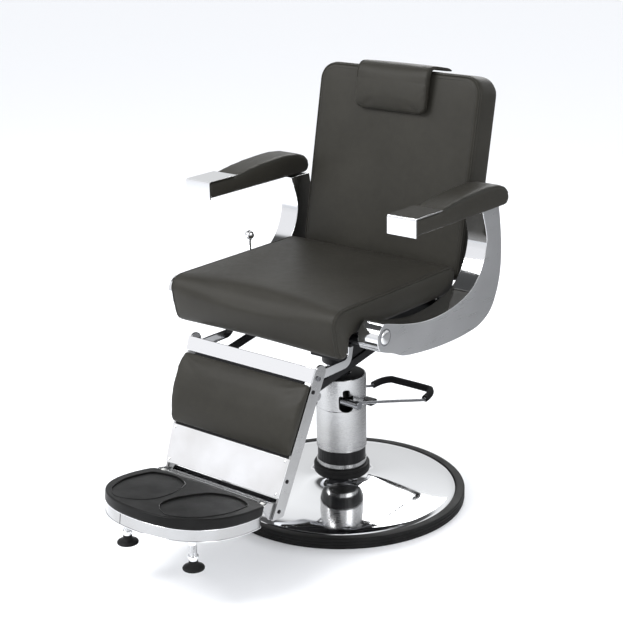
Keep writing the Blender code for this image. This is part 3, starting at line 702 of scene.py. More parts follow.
def on_surface(obj, points, lift=0.0):
    """The points moved to the nearest place on the piece, and lifted off it by a little."""
    tree = BVHTree.FromObject(obj, bpy.context.evaluated_depsgraph_get())
    made = []
    for point in points:
        place, normal, _, _ = tree.find_nearest(Vector(point))
        made.append(place + normal * lift)
    return made


def groove(obj, lines, width, depth):
    """Presses a seam's valley into the surface."""
    places = places_of(obj.data)
    normals = numpy.empty(places.size)
    obj.data.vertex_normals.foreach_get("vector", normals)
    share = numpy.clip(1 - gaps_to(places, lines) / width, 0.0, 1.0) ** 2
    places -= normals.reshape(-1, 3) * (depth * share)[:, None]
    obj.data.vertices.foreach_set("co", places.ravel())
    obj.data.update()
    return obj


# ---- base and column ----------------------------------------------------------------------------
HIDDEN_PIECES = (
    (STEEL, ("base_plate", "ram", "swivel_bearing", "headrest_post", "legrest_pin_left",
             "legrest_pin_right",
             "recline_lever_pin", "footrest_hinge_rod")),
    (PAINT, ("pump_housing", "pump_block", "swivel_hub", "seat_frame", "seat_board",
             "legrest_board",
             "backrest_frame", "recline_link_left", "recline_link_right")),
)


def make_base():
    top = flowing([(0.0707, 0.0735), (0.0790, 0.0672), (0.0960, 0.0600), (0.1250, 0.0545),
                   (0.1750, 0.0488),
                   (0.2250, 0.0438), (0.2650, 0.0388), (0.2900, 0.0343), (0.3020, 0.0298)], 6,
                  False)
    dish = top + [(0.3065, 0.0262), (0.3085, 0.0220), (0.3088, 0.0070), (0.3070, 0.0070),
                  (0.3068, 0.0210)]
    dish += [(0.3010, 0.0270), (0.2640, 0.0360), (0.1740, 0.0460), (0.0950, 0.0565),
             (0.0705, 0.0700)]
    cover = lathe("base_dish", CHROME, dish, 192)
    stands_for(cover, "base", "chrome", "base_cover")
    ring = [(0.3260, 0.0290), (0.3284, 0.0283)]
    for i in range(3):
        z = 0.0270 - i * 0.0082
        ring += [(0.3300, z), (0.3300, z - 0.0052), (0.3289, z - 0.0060), (0.3286, z - 0.0068),
                 (0.3289, z - 0.0076)]
    ring += [(0.3290, 0.0008), (0.3280, 0.0000), (0.3060, 0.0000), (0.3060, 0.0060),
             (0.3094, 0.0060)]
    ring += [(0.3094, 0.0225), (0.3070, 0.0275), (0.3090, 0.0290), (0.3150, 0.0296)]
    stands_for(lathe("base_ring", RUBBER, ring, 160, angle=30), "base", "rubber",
               "base_rubber_ring")
    collar = [(0.0700, 0.0989), (0.0738, 0.0978), (0.0747, 0.0955), (0.0747, 0.0900),
              (0.0736, 0.0890)]
    collar += [(0.0747, 0.0880), (0.0747, 0.0790), (0.0735, 0.0752), (0.0705, 0.0742),
               (0.0646, 0.0742)]
    collar += [(0.0646, 0.0989)]
    stands_for(lathe("collar_of_column", RUBBER, collar, 96), "base", "rubber", "column_collar")
    band = [(0.0655, 0.1120), (0.0667, 0.1110), (0.0667, 0.1004), (0.0658, 0.0996),
            (0.0646, 0.0996)]
    band += [(0.0646, 0.1120)]
    stands_for(lathe("band_of_column", BAR, band, 96), "base", "satin_metal", "column_band")
    for paint, names in HIDDEN_PIECES:
        for name in names:
            mesh = NODES[name].data
            mesh.materials.clear()
            mesh.materials.append(paint)


def make_shroud():
    low, high = SHROUD_Z
    r, inner = SHROUD_R, SHROUD_R - 0.0016
    side = [(inner - 0.0020, high), (r - 0.0035, high), (r - 0.0012, high - 0.0008),
            (r, high - 0.0030)]
    side += [(r, 0.2640), (r - 0.0007, 0.2630), (r - 0.0007, 0.2620), (r, 0.2610),
             (r, low + 0.0015)]
    side += [(r - 0.0006, low), (inner, low), (inner, high - 0.0030), (0.0262, high - 0.0030),
             (0.0262, high)]
    shell = lathe("shroud", SHROUD, side, 160)
    y, z = PUMP_AXIS
    slot = arc((y + 0.0035, z - 0.0165), 0.0137, 180, 360, 10)
    slot += [(y + 0.0172, z + 0.013), (y + 0.009, z + 0.013), (y + 0.009, z + 0.026),
             (y + 0.006, z + 0.030)]
    slot += [(y - 0.001, z + 0.030), (y - 0.004, z + 0.026), (y - 0.004, z + 0.013),
             (y - 0.0102, z + 0.013)]
    shell = cut(shell, [plate("slot", SHROUD, slot, -0.1, 0.1, SIDE)])
    stands_for(shell, "base", "chrome", "column_shroud")
    rims = []
    for side_of in (1, -1):
        rim = []
        for a, b in flowing(slot, 3):
            x = math.sqrt(max(SHROUD_R ** 2 - a * a, 0)) * side_of
            rim.append((x, a, b))
        rims.append(tube("rim", RUBBER, rim, 0.0011, closed=True, sides=2))
    stands_for(merged("slot_rims", RUBBER, rims), "base", "rubber")
    lid = [(0.0275, high + 0.0002), (0.0275, high + 0.0012), (0.0610, high + 0.0012),
           (0.0625, high + 0.0002)]
    stands_for(lathe("shroud_lid", RUBBER, lid, 96), "base", "rubber")
    outline = [(0.0305, 0.2625), (0.0320, 0.2613), (0.0562, 0.2613), (0.0577, 0.2625),
               (0.0577, 0.2745)]
    outline += [(0.0562, 0.2757), (0.0320, 0.2757), (0.0305, 0.2745)]
    block = plate("buffer", RUBBER, outline, 0.0430, 0.0757, SIDE, 0.0012, 2)
    drum = lathe("drum", RUBBER, rod(SHROUD_R + 0.0004, 0.4, 0.2), 96)
    ribs = [plate("rib", RUBBER, [(y0, 0.25), (y0 + 0.0016, 0.25), (y0 + 0.0016, 0.29), (y0, 0.29)],
                  0.0743, 0.09, SIDE) for y0 in [0.0340 + 0.0052 * i for i in range(4)]]
    stands_for(cut(block, [drum] + ribs), "base", "rubber", "column_buffer")


def make_foot_lever():
    y, z = PUMP_AXIS
    slope, reach, half = math.radians(15.5), 0.312, 0.090
    back = (y + reach * math.cos(slope), z + 0.006 - reach * math.sin(slope))
    far = (back[0] + 0.060, back[1] + 0.006)

    def along(share):
        return tuple(back[i] + (far[i] - back[i]) * share for i in range(2))

    arm = [(half, y, z + 0.006), (half, y + 0.15, z + 0.006 - 0.15 * math.tan(slope)),
           (half, *along(-0.08))]
    arm += [(half - 0.0010, *along(0.10)), (half - 0.0035, *along(0.40)),
            (half - 0.0095, *along(0.70))]
    arm += [(0.0700, *along(0.92)), (0.0540, *far)]
    loop = arm + [(-a, b, c) for a, b, c in reversed(arm)]
    across = facing((1, 0, 0))
    shaft = lathe("shaft", STEEL, sleeve(0, 0.0095, half + 0.006, 0.001), 48, (0, y, z), across)
    rods = tube("rods", STEEL, flowing(loop, 5, False), 0.0040, sides=5)
    boss = sleeve(0, 0.0115, 0.0065, 0.001)
    ends = [lathe("boss", STEEL, boss, 40, (side * half, y, z), across) for side in (1, -1)]
    lever = merged("foot_lever", STEEL, [shaft, rods] + ends)
    stands_for(lever, "pump_lever", "steel", "pump_lever_bar")
    cover = arm[3:]
    cover += [(-a, b, c) for a, b, c in reversed(cover)]
    smooth = flowing(cover, 8, False)
    grip = tube("foot_grip", FOAM, smooth, 0.0100, sides=6)
    grip.data.shade_smooth()
    stands_for(grip, "pump_lever", "foam", "pump_lever_grip")
    rings = []
    for side in (1, -1):
        start = Vector((side * (half - 0.0010), *along(0.10)))
        aim = Vector((-side * 0.009, far[0] - back[0], far[1] - back[1])).normalized()
        rings.append(lathe("ring", RUBBER, sleeve(0.0046, 0.0100, 0.0020, 0.0008, 0.0010), 40,
                           start, facing(aim)))
    stands_for(merged("grip_end_rings", RUBBER, rings), "pump_lever", "rubber")


# ---- side frames and armrests -------------------------------------------------------------------
def side_frame_outline():
    outer = [(0.2220, 0.8105), (0.2340, 0.7450), (0.2390, 0.6850), (0.2360, 0.6300),
             (0.2210, 0.5800)]
    outer += [(0.1930, 0.5370), (0.1460, 0.5120), (0.0900, 0.5035), (0.0200, 0.5015),
              (-0.0730, 0.5060)]
    outer += [(-0.1790, 0.5200), (-0.2300, 0.5400)]
    nose = arc((-0.2520, 0.5840), 0.0370, 232, 98, 8)
    inner = [(-0.1900, 0.6020), (-0.1220, 0.5880), (-0.0640, 0.5830), (-0.0090, 0.5850),
             (0.0460, 0.5940)]
    inner += [(0.0970, 0.6110), (0.1360, 0.6420), (0.1600, 0.6830), (0.1700, 0.7250),
              (0.1630, 0.7600)]
    inner += [(0.1450, 0.8105)]
    return flowing(outer + nose + inner, 5, False)


def make_arm(side, ending):
    low, high = span(side, CFRAME_X)
    casting = plate("side_casting_" + ending, CASTING, side_frame_outline(), low, high, SIDE,
                    0.0022, 4)
    stands_for(casting, "seat", "satin_metal", "side_frame_" + ending)
    out = side * CFRAME_X[1]
    cap = [(0, 0.0046), (0.0070, 0.0044), (0.0125, 0.0037), (0.0160, 0.0024), (0.0175, 0.0010),
           (0.0176, 0.0004)]
    cap += [(0.0155, 0.0004), (0.0150, -0.0040), (0, -0.0040)]
    bolt = lathe("bolt_" + ending, CHROME, cap, 64, (out, *BOLT_YZ), facing((side, 0, 0)))
    stands_for(bolt, "seat", "chrome", "side_frame_bolt_" + ending)
    seat_ring = [(0.0205, 0.0006), (0.0212, 0.0001), (0.0190, -0.0006), (0.0178, 0.0001),
                 (0.0184, 0.0006)]
    stands_for(lathe("bolt_seat_" + ending, STEEL, seat_ring, 64, (out, *BOLT_YZ),
                     facing((side, 0, 0))),
               "seat", "steel")
    make_armrest(side, ending)


def make_armrest(side, ending):
    low, high = span(side, ARM_X)
    front = ARM_FRONT + 0.004
    pad = [(front + 0.0006, 0.8116), (0.2150, 0.8116), (0.2275, 0.8160), (0.2325, 0.8290),
           (0.2290, 0.8440)]
    pad += [(0.2150, 0.8590), (0.1880, 0.8690), (0.1450, 0.8740), (0.0900, 0.8735),
            (0.0300, 0.8695)]
    pad += [(-0.0200, 0.8640), (-0.0560, 0.8580), (-0.0680, 0.8540), (front + 0.0006, 0.8535)]
    form = plate("pad_form", LEATHER, pad, low + 0.0015, high - 0.0015, SIDE, 0.007, 3)
    seams = []
    for x in (low + 0.0015, high - 0.0015):
        seams.append([(x, a, b) for a,
                      b in ((-0.066, 0.8530), (-0.02, 0.8590), (0.03, 0.8645), (0.09, 0.8685),
                                             (0.145, 0.8690), (0.188, 0.8640), (0.213, 0.8550),
                            (0.225, 0.8420))])
    form.name = "armrest_cushion_" + ending

    def held_down(p):
        return p.z < 0.8150 or p.y < front + 0.006 or (p.y < -0.066 and p.z > 0.845)

    cushion = stuffed(form, 0.0048, 0.005, seams, 0.0035, 3.0, firm=held_down)
    lines = [on_surface(cushion, flowing(line, 4, False)) for line in seams]
    groove(cushion, lines, 0.0045, 0.0012)
    stands_for(cushion, "seat", "leather", "armrest_pad_" + ending)
    for i, line in enumerate(lines):
        row = stitch_row(f"armrest_stitches_{ending}_{i}",
                         [p + Vector((0, 0, 0.0012)) for p in line])
        stands_for(row, "seat", "leather")
    under = ARM_Z[0]
    cap = [(ARM_FRONT, under + 0.001), (ARM_FRONT + 0.001, under), (front, under), (front, 0.8552)]
    cap += [(-0.0710, 0.8552), (-0.0704, 0.8556), (-0.0704, 0.8575), (-0.0710, 0.8580),
            (ARM_FRONT + 0.005, 0.8580)]
    cap += [(ARM_FRONT + 0.0015, 0.8565), (ARM_FRONT, 0.8530)]
    cover = plate("armrest_cover_" + ending, CHROME, cap, low, high, SIDE, 0.0007, 2)
    stands_for(cover, "seat", "chrome", "armrest_cap_" + ending)


# ---- seat ---------------------------------------------------------------------------------------
def make_seat():
    inset = 0.003
    half = SEAT_X - inset
    profile = arc((-0.3235, 0.6235), 0.0320, 95, 185, 6)
    profile += [(-0.3490, 0.5850), (-0.3400, 0.5480), (-0.3310, 0.5350), (-0.3140, 0.5310),
                (-0.3030, 0.5390)]
    profile += [(-0.2940, 0.5840), (0.1150, 0.5840), (0.1340, 0.5990), (0.1410, 0.6250),
                (0.1410, 0.6430)]
    profile += [(0.1320, 0.6530), (0.1150, 0.6570)]
    form = plate("seat_form", LEATHER, profile, -half, half, SIDE, 0.014, 4)
    edge = [(0.1410, 0.640), (0.1250, 0.6560), (0.0, 0.6560), (-0.20, 0.6560), (-0.3100, 0.6555),
            (-0.3450, 0.6440),
            (-0.3550, 0.6230), (-0.3510, 0.5950), (-0.3415, 0.5530), (-0.3310, 0.5360)]
    seams = [[(x, a, b) for a, b in edge] for x in (-half + 0.002, half - 0.002)]
    rear = [[(x, 0.1410, 0.640) for x in (-half, -0.1, 0.1, half)]]
    form.name = "seat_upholstery"
    seat = stuffed(form, 0.0060, 0.013, seams + rear, 0.006, 4.0,
                   firm=lambda p: p.z < 0.589 and p.y > -0.300)
    lines = [on_surface(seat, flowing(line, 5, False)) for line in seams]
    groove(seat, lines, 0.0065, 0.0016)
    stands_for(seat, "seat", "leather", "seat_cushion")
    welts = [tube("welt", LEATHER, [tuple(p) for p in line], 0.0017, sides=3) for line in lines]
    stands_for(merged("seat_welts", LEATHER, welts), "seat", "leather")
    for i, line in enumerate(lines):
        inward = Vector((0.007 if line[0].x < 0 else -0.007, 0, 0))
        row = stitch_row(f"seat_stitches_{i}", on_surface(seat, [p + inward for p in line], 0.0002))
        stands_for(row, "seat", "leather")


# ---- back ---------------------------------------------------------------------------------------
def back_outline(half, top, corner, bottom=0.016, low=0.0):
    right = arc((half - bottom, BACK_LOW + low + bottom), bottom, -90, 0, 4)
    right += arc((half - corner, top - corner), corner, 0, 90, 9)
    return right + [(-a, b) for a, b in reversed(right)]


def in_frame(where, points, depth):
    return [tuple(where @ Vector((a, b, depth))) for a, b in points]


def make_back():
    inset = 0.003
    rear = -0.0930
    form = plate("back_form", LEATHER,
                 back_outline(BACK_X - inset, BACK_H - inset, 0.048, low=inset), rear, -0.0085,
                 BACK_FACE, 0.012, 4)
    form.name = "back_upholstery"
    ring = back_outline(BACK_X - inset - 0.004, BACK_H - inset - 0.004, 0.046, low=inset + 0.004)
    face_seam = in_frame(BACK_FACE, ring + ring[:1], -0.0110)
    rear_seam = in_frame(BACK_FACE, ring + ring[:1], rear + 0.0030)
    to_local = BACK_FACE.inverted()

    def boxing(p):
        q = to_local @ p
        return abs(q.x) > BACK_X - 0.0045 or q.y > BACK_H - 0.0045 or q.y < BACK_LOW + 0.0045

    back = stuffed(form, 0.0060, 0.014, [face_seam, rear_seam], 0.006, 4.0, firm=boxing)
    lines = [on_surface(back, face_seam), on_surface(back, rear_seam)]
    groove(back, lines, 0.0070, 0.0018)
    slot = [(-0.032, 0.295), (0.032, 0.295), (0.032, 0.50), (-0.032, 0.50)]
    back = cut(back, [plate("slot", LEATHER, slot, -0.0826, -0.0740, BACK_FACE)])
    back.data.shade_smooth()
    stands_for(back, "back", "leather", "backrest_pad", "backrest_cover")
    welts = [tube("back_welt", LEATHER, [tuple(p) for p in line[:-1]], r, closed=True, sides=3)
             for line, r in zip(lines, (0.0019, 0.0012))]
    stands_for(merged("back_welts", LEATHER, welts), "back", "leather")
    small = back_outline(BACK_X - inset - 0.013, BACK_H - inset - 0.013, 0.038, low=inset + 0.013)
    for name, depth in (("back_stitches", 0.004), ("rear_stitches", -0.110)):
        row = on_surface(back, in_frame(BACK_FACE, small, depth), 0.0002)
        stands_for(stitch_row(name, row, closed=True), "back", "leather")


def make_headrest():
    inset, low = 0.003, 0.361
    top, under = BACK_H + 0.015, BACK_H + 0.0024
    front = -0.0225
    profile = [(-0.0050, low), (-0.0120, low + 0.001), (front + 0.003, low + 0.008),
               (front, low + 0.020)]
    profile += [(front, top - 0.034), (front + 0.005, top - 0.018), (-0.0040, top - 0.0070),
                (0.0080, top - 0.0050)]
    profile += [(0.0700, top - 0.0050), (0.0850, top - 0.0085), (0.0930, top - 0.0105),
                (0.0930, under - 0.0010)]
    profile += [(0.0750, under - 0.0015), (0.0130, under - 0.0015), (0.0040, under - 0.0040),
                (-0.0010, under - 0.0100)]
    profile += [(-0.0035, under - 0.0200), (-0.0035, low + 0.001)]
    form = plate("head_form", LEATHER, profile, -HEAD_X + inset, HEAD_X - inset, BACK_SIDE, 0.0045,
                 3)
    corners = []
    r = 0.028
    for side in (1, -1):
        ring = arc((HEAD_X - r, low + r), r, -90, 0, 8) + [(HEAD_X + 0.01, low + r),
                                                           (HEAD_X + 0.01, low - 0.01)]
        ring.append((HEAD_X - r, low - 0.01))
        corners.append(plate("corner", LEATHER, [(side * a, b) for a, b in ring], -0.010, 0.040,
                             BACK_FACE))
    form = cut(form, corners)
    form.name = "head_upholstery"
    edge = [(-0.0090, low), (front + 0.001, low + 0.012), (front, 0.44),
            (front + 0.001, top - 0.030),
            (-0.0100, top - 0.0105), (0.0060, top - 0.0055), (0.070, top - 0.0055),
            (0.090, top - 0.0100)]
    seams = [in_frame(BACK_SIDE, edge[2:], x) for x in (-HEAD_X + inset + 0.002,
                                                        HEAD_X - inset - 0.002)]
    to_local = BACK_SIDE.inverted()

    def touches_back(p):
        q = to_local @ p
        return q.x > -0.0045 and q.y < under + 0.0015

    head = stuffed(form, 0.0040, 0.0085, seams, 0.004, 4.5, firm=touches_back, soft=6)
    lines = [on_surface(head, flowing(line, 4, False)) for line in seams]
    groove(head, lines, 0.0045, 0.0010)
    stands_for(head, "headrest", "leather", "headrest_pad")
    welts = [tube("welt", LEATHER, [tuple(p) for p in line], 0.0013, sides=3) for line in lines]
    stands_for(merged("head_welts", LEATHER, welts), "headrest", "leather")


# ---- recline lever ------------------------------------------------------------------------------
def make_recline_lever():
    x, y, z = LEVER_KNOB
    shaft = lathe("stalk", CHROME,
                  [(0, z - 0.009), (0.0030, z - 0.010), (0.0036, z - 0.016),
                   (0.0038, LEVER_AXIS_Z + 0.006),
                                    (0, LEVER_AXIS_Z + 0.006)], 32, (x, y, 0))
    eye = lathe("eye", CHROME, sleeve(0.0039, 0.0085, 0.0040, 0.0007), 40, (x, y, LEVER_AXIS_Z),
                facing((1, 0, 0)))
    stands_for(merged("recline_stalk", CHROME, [shaft, eye]), "recline_lever", "chrome",
               "recline_lever_rod")
    ball = [(0, 0.0126)] + [(0.0126 * math.sin(math.radians(a)), 0.0126 * math.cos(math.radians(a)))
                            for a in range(8, 160, 8)]
    ball += [(0.0052, -0.0118), (0.0052, -0.0140), (0, -0.0140)]
    stands_for(lathe("recline_ball", CHROME, ball, 64, (x, y, z), angle=60), "recline_lever",
               "chrome",
               "recline_lever_knob")


# ---- leg-rest -----------------------------------------------------------------------------------
def on_leg(down, forward, x=0.0):
    return tuple(Vector((x, *LEG_TOP)) + LEG_DOWN * down + LEG_FORWARD * forward)


def lean_in(obj, side):
    for vert in obj.data.vertices:
        down = (vert.co - Vector((vert.co.x, *LEG_TOP))).dot(LEG_DOWN)
        vert.co.x -= side * LEG_TAPER * max(down, 0)
    return obj


def bar_outside(down):
    return SIDE_BAR_X[1] - LEG_TAPER * max(down, 0)


def bar_outline(start, end, half, steps=10):
    turn = math.degrees(math.atan2(end[1] - start[1], end[0] - start[0]))
    return arc(end, half, turn - 90, turn + 90, steps) + arc(start, half, turn + 90, turn + 270,
                                                             steps)


def crank_end(axis, length=0.050, lean=math.radians(10.0)):
    return (axis[0] + length * math.sin(lean), axis[1] - length * math.cos(lean))


def make_side_bar(side, ending):
    low, high = span(side, SIDE_BAR_X)
    half, start, end = 0.019, -0.012, 0.376
    points = [on_leg(start + half - b, a - half - BAR_SET_BACK)[1:] for a,
              b in arc((0, 0), half, 0, 180, 16)]
    for down, forward in ((end - 0.018, -2 * half), (end - 0.014, -2 * half + 0.002),
                          (end - 0.002, -0.003),
                          (end - 0.004, 0)):
        points.append(on_leg(down, forward - BAR_SET_BACK)[1:])
    bar = lean_in(plate("bar", BAR, points, low, high, SIDE, 0.0008, 2), side)
    pin = crank_end(LEG_YZ)
    lug = plate("lug", BAR, bar_outline(on_leg(0.062, -0.032)[1:], pin, 0.0105),
                *span(side, (0.1765, 0.1985)),
                SIDE, 0.0008, 2)
    peg = lathe("peg", BAR,
                [(0, 0.0085), (0.0038, 0.0085), (0.0040, 0.0080), (0.0040, -0.0080), (0, -0.0085)],
                24,
                (side * 0.1718, *pin), facing((1, 0, 0)))
    stands_for(merged("side_rail_" + ending, BAR, [bar, lug, peg]), "legrest", "satin_metal",
               "legrest_side_bar_" + ending)
    heads = []
    for down, forward in ((0.0222, -0.0252), (0.0560, -0.0180), (0.2760, -0.0180),
                          (0.3500, -0.0210)):
        x = side * (bar_outside(down) + 0.0003)
        heads.append((on_leg(down, forward, x), (side, 0, 0)))
    stands_for(screws("rail_screws_" + ending, PAINT, heads, 0.0050, 0.0020), "legrest",
               "black_paint")


def make_leg_bracket(side, ending):
    low, high = span(side, (0.1885, 0.1950))
    y, z = LEG_YZ
    outer = arc((y, z), 0.012, 80, 270, 14)
    outer += arc((-0.232, z + 0.020), 0.031, 270, 355, 10) + [(-0.1900, 0.5476), (-0.2160, 0.5476)]
    outer += arc((-0.232, z + 0.026), 0.015, 0, -88, 8)
    stands_for(plate("hanger_" + ending, CHROME, outer, low, high, SIDE, 0.0012, 3), "seat",
               "chrome",
               "legrest_bracket_" + ending)


def leg_panel(name, paint, down, half_widths, back, front, edge=0.0, segments=3):
    corners = [(half_widths[0], -down[0]), (half_widths[1], -down[1])]
    points = corners + [(-a, b) for a, b in reversed(corners)]
    return plate(name, paint, points, back, front, LEG_FACE, edge, segments)


def make_leg_rest():
    for side, ending in BOTH:
        make_side_bar(side, ending)
        make_leg_bracket(side, ending)
    skin = -BAR_SET_BACK + 0.0004
    down = (0.0, 0.036)
    bar = leg_panel("top_rail", CHROME, down, [bar_outside(d) for d in down], skin, 0, 0.0014)
    stands_for(bar, "legrest", "chrome", "legrest_top_bar")
    pad_top, pad_middle, pad_length = 0.0395, 0.1290, 0.179
    crown = [(pad_top, skin), (pad_top, 0.0020), (0.0430, 0.0075), (0.0560, 0.0135), (0.0830, 0.0200),
             (pad_middle, 0.0235)]
    crown += [(pad_middle * 2 - d, f) for d, f in reversed(crown[:-1])]
    form = plate("calf_form", LEATHER, [on_leg(d, f)[1:] for d, f in crown], -1.0, 1.0, SIDE)
    to_local = LEG_FACE.inverted()
    for vert in form.data.vertices:
        down = -(to_local @ vert.co).y
        bulge = 0.0060 * math.sin(math.pi * (down - pad_top) / pad_length)
        vert.co.x *= bar_outside(down) + 0.0010 + bulge
    form = rounded(form, 0.0060, 4, 50.0)
    form.name = "calf_upholstery"
    calf = stuffed(form, 0.0055, 0.0045, [], 0.005, 1.5,
                   firm=lambda p: (to_local @ p).z < skin + 0.004, soft=8)
    stands_for(calf, "legrest", "leather", "legrest_pad")
    down = (0.2215, 0.3190)
    kick = leg_panel("kick_panel", KICK, down, [bar_outside(d) for d in down], skin, -0.0015,
                     0.0010)
    stands_for(kick, "legrest", "chrome", "kick_plate")
    strip = [on_leg(0.3240, -0.0260)[1:], on_leg(0.3235, -0.0228)[1:], on_leg(0.3480, -0.0060)[1:],
             on_leg(0.3485, -0.0092)[1:]]
    stands_for(plate("lower_strip", CHROME, strip, -0.1694, 0.1694, SIDE, 0.0006, 2), "legrest",
               "chrome",
               "legrest_bottom_strip")
    heads = [(on_leg(0.2300, -0.0012, x), LEG_FORWARD) for x in (-0.180, 0.180)]
    heads += [(on_leg(0.3110, -0.0012, x), LEG_FORWARD) for x in (-0.175, 0.175)]
    stands_for(screws("kick_screws", CHROME, heads, 0.0034, 0.0012), "legrest", "chrome")


# ---- footrest -----------------------------------------------------------------------------------
def step_outline(inset, steps=40):
    half, long = STEP_X - inset, STEP_LONG - inset
    reach = long - STEP_WIDEST
    right = [(half * 0.880, 0.0), (half * 0.915, -0.0006), (half * 0.945, -0.0042),
             (half * 0.970, -0.0120),
             (half * 0.990, -0.0320)]
    for i in range(steps + 1):
        angle = math.pi / 2 * i / steps
        right.append((half * math.cos(angle) ** (2 / STEP_POWER),
                      -STEP_WIDEST - reach * math.sin(angle) ** (2 / STEP_POWER)))
    return right + [(-a, b) for a, b in reversed(right[:-1])]


def sole_outline(side, inset=0.0):
    shape = [(0.024, -0.708), (0.013, -0.647), (0.030, -0.581), (0.051, -0.551), (0.098, -0.533),
             (0.149, -0.548),
             (0.161, -0.576), (0.162, -0.637), (0.141, -0.698), (0.110, -0.730), (0.074, -0.742)]
    centre, half_wide, half_long = (0.090, -0.640), 0.075, 0.100
    made = []
    for a, b in shape:
        x = centre[0] + (a - centre[0]) * (1 - inset / half_wide)
        y = centre[1] + (b - centre[1]) * (1 - inset / half_long)
        made.append((side * x, (y - STEP_REAR[0]) / math.cos(STEP_TILT)))
    return flowing(made, 6)


def make_footrest():
    tread = plate("step_tread", TREAD, step_outline(0.0008), -0.026, -0.0006, STEP_FRAME, 0.0042, 4)
    hollows = [plate("hollow", TREAD, sole_outline(side), -0.0034, 0.010,
                     STEP_FRAME) for side in (1, -1)]
    stands_for(cut(tread, hollows), "footrest", "rubber", "footrest_tread")
    lips = []
    for side in (1, -1):
        lips.append(tube("lip", TREAD, in_frame(STEP_FRAME, sole_outline(side, -0.0010), -0.0010),
                         0.0017,
                         closed=True, sides=3))
    stands_for(merged("tread_lips", TREAD, lips), "footrest", "rubber")
    top = -0.0264
    outline = step_outline(0.0045)
    pan = plate("step_pan", BAND, outline, top - 0.030, top - 0.0002, STEP_FRAME, 0.0024, 4)
    y, z = STEP_HINGE
    across = facing((1, 0, 0))
    knuckle = lathe("knuckle", BAND, sleeve(0.0064, 0.0105, 0.150, 0.0005), 40, (0, y, z), across)
    web = [(y - 0.002, z - 0.004), (y - 0.0125, z - 0.004), (y - 0.0135, z - 0.012),
           (y - 0.028, z - 0.014)]
    web += [(y - 0.028, z - 0.030), (y - 0.002, z - 0.030)]
    web = plate("web", BAND, web, -0.150, 0.150, SIDE, 0.0008, 2)
    leaf = [(-0.5150, 0.2036), (-0.4872, 0.2036), (-0.4872, 0.2067), (-0.5150, 0.2067)]
    leaf = plate("leaf", BAND, leaf, -0.150, 0.150, SIDE, 0.0007, 2)
    pan = cut(pan, [lathe("hole", CHROME, rod(0.0099, 0.2095, 0.14), 40,
                          (side * GLIDE_XY[0], GLIDE_XY[1], 0))
                    for side in (1, -1)])
    web = cut(web, [lathe("hole", CHROME, rod(0.0064, 0.2, -0.2), 40, (0, y, z), across)])
    pan = merged("step_shell", BAND, [pan, web, knuckle, leaf])
    stands_for(pan, "footrest", "chrome", "footrest_pan")
    edge = step_outline(0.0040)
    seam = in_frame(STEP_FRAME, edge, top - 0.0010)
    stands_for(tube("band_lip", CHROME, seam, 0.0012, closed=True, sides=2), "footrest", "chrome")
    joint = min(outline, key=lambda p: abs(p[0] + 0.046) + (9 if p[1] > -0.1 else 0))
    stands_for(plate("band_joint", PAINT,
                     [(joint[0], joint[1] - 0.0006), (joint[0] + 0.0013, joint[1] - 0.0006),
                                           (joint[0] + 0.0013, joint[1] + 0.004),
                      (joint[0], joint[1] + 0.004)],
                     top - 0.0275, top - 0.0020, STEP_FRAME), "footrest", "black_paint")
    low = in_frame(STEP_FRAME, edge, top - 0.0285)
    stands_for(tube("band_hem", CHROME, low, 0.0014, closed=True, sides=2), "footrest", "chrome")


def make_glide(side, ending):
    x, y = side * GLIDE_XY[0], GLIDE_XY[1]
    foot = GLIDE_FOOT
    profile = [(0, foot + 0.0215), (0.0098, foot + 0.0215), (0.0108, foot + 0.0205),
               (0.0110, foot + 0.0160)]
    profile += [(0.0124, foot + 0.0128), (0.0165, foot + 0.0098), (0.0218, foot + 0.0074),
                (0.0250, foot + 0.0054)]
    profile += [(0.0262, foot + 0.0032), (0.0258, foot + 0.0008), (0.0245, foot), (0, foot)]
    stands_for(lathe("glide_" + ending, RUBBER, profile, 64, (x, y, 0)), "glide_" + ending,
               "rubber",
               "glide_foot_" + ending)
    stem = [(0, 0.2000), (0.0088, 0.2000), (0.0095, 0.1990)]
    z = 0.1600
    while z > foot + 0.038:
        stem += [(0.0095, z), (0.0088, z - 0.0006), (0.0095, z - 0.0012)]
        z -= 0.0016
    stem += [(0.0095, foot + 0.0350), (0.0122, foot + 0.0346), (0.0126, foot + 0.0340),
             (0.0126, foot + 0.0285)]
    stem += [(0.0095, foot + 0.0280), (0.0095, foot + 0.0222), (0, foot + 0.0218)]
    stands_for(lathe("stem_" + ending, CHROME, stem, 48, (x, y, 0)), "glide_" + ending, "chrome",
               "glide_stem_" + ending)


def make_step_bracket(side, ending):
    low, high = span(side, (0.1934, 0.1986))
    y, z = STEP_HINGE
    points = [(-0.4700, 0.1560), (-0.4560, 0.1640), (-0.4640, 0.1960), (-0.4860, 0.2060)]
    points += arc((y, z), 0.0120, 60, 235, 14) + [(-0.5000, 0.1660)]
    ear = lean_in(plate("step_ear_" + ending, BAR, points, low, high, SIDE, 0.0010, 3), side)
    stands_for(ear, "legrest", "satin_metal", "footrest_bracket_" + ending)
    washer = [(0.0064, 0.0012), (0.0100, 0.0012), (0.0105, 0.0007), (0.0105, -0.0012),
              (0.0064, -0.0012)]
    x = side * 0.1625
    ring = lathe("washer_" + ending, NYLON, [(r, h * 4) for r, h in washer], 40, (x, y, z),
                 facing((side, 0, 0)))
    stands_for(ring, "legrest", "satin_metal")


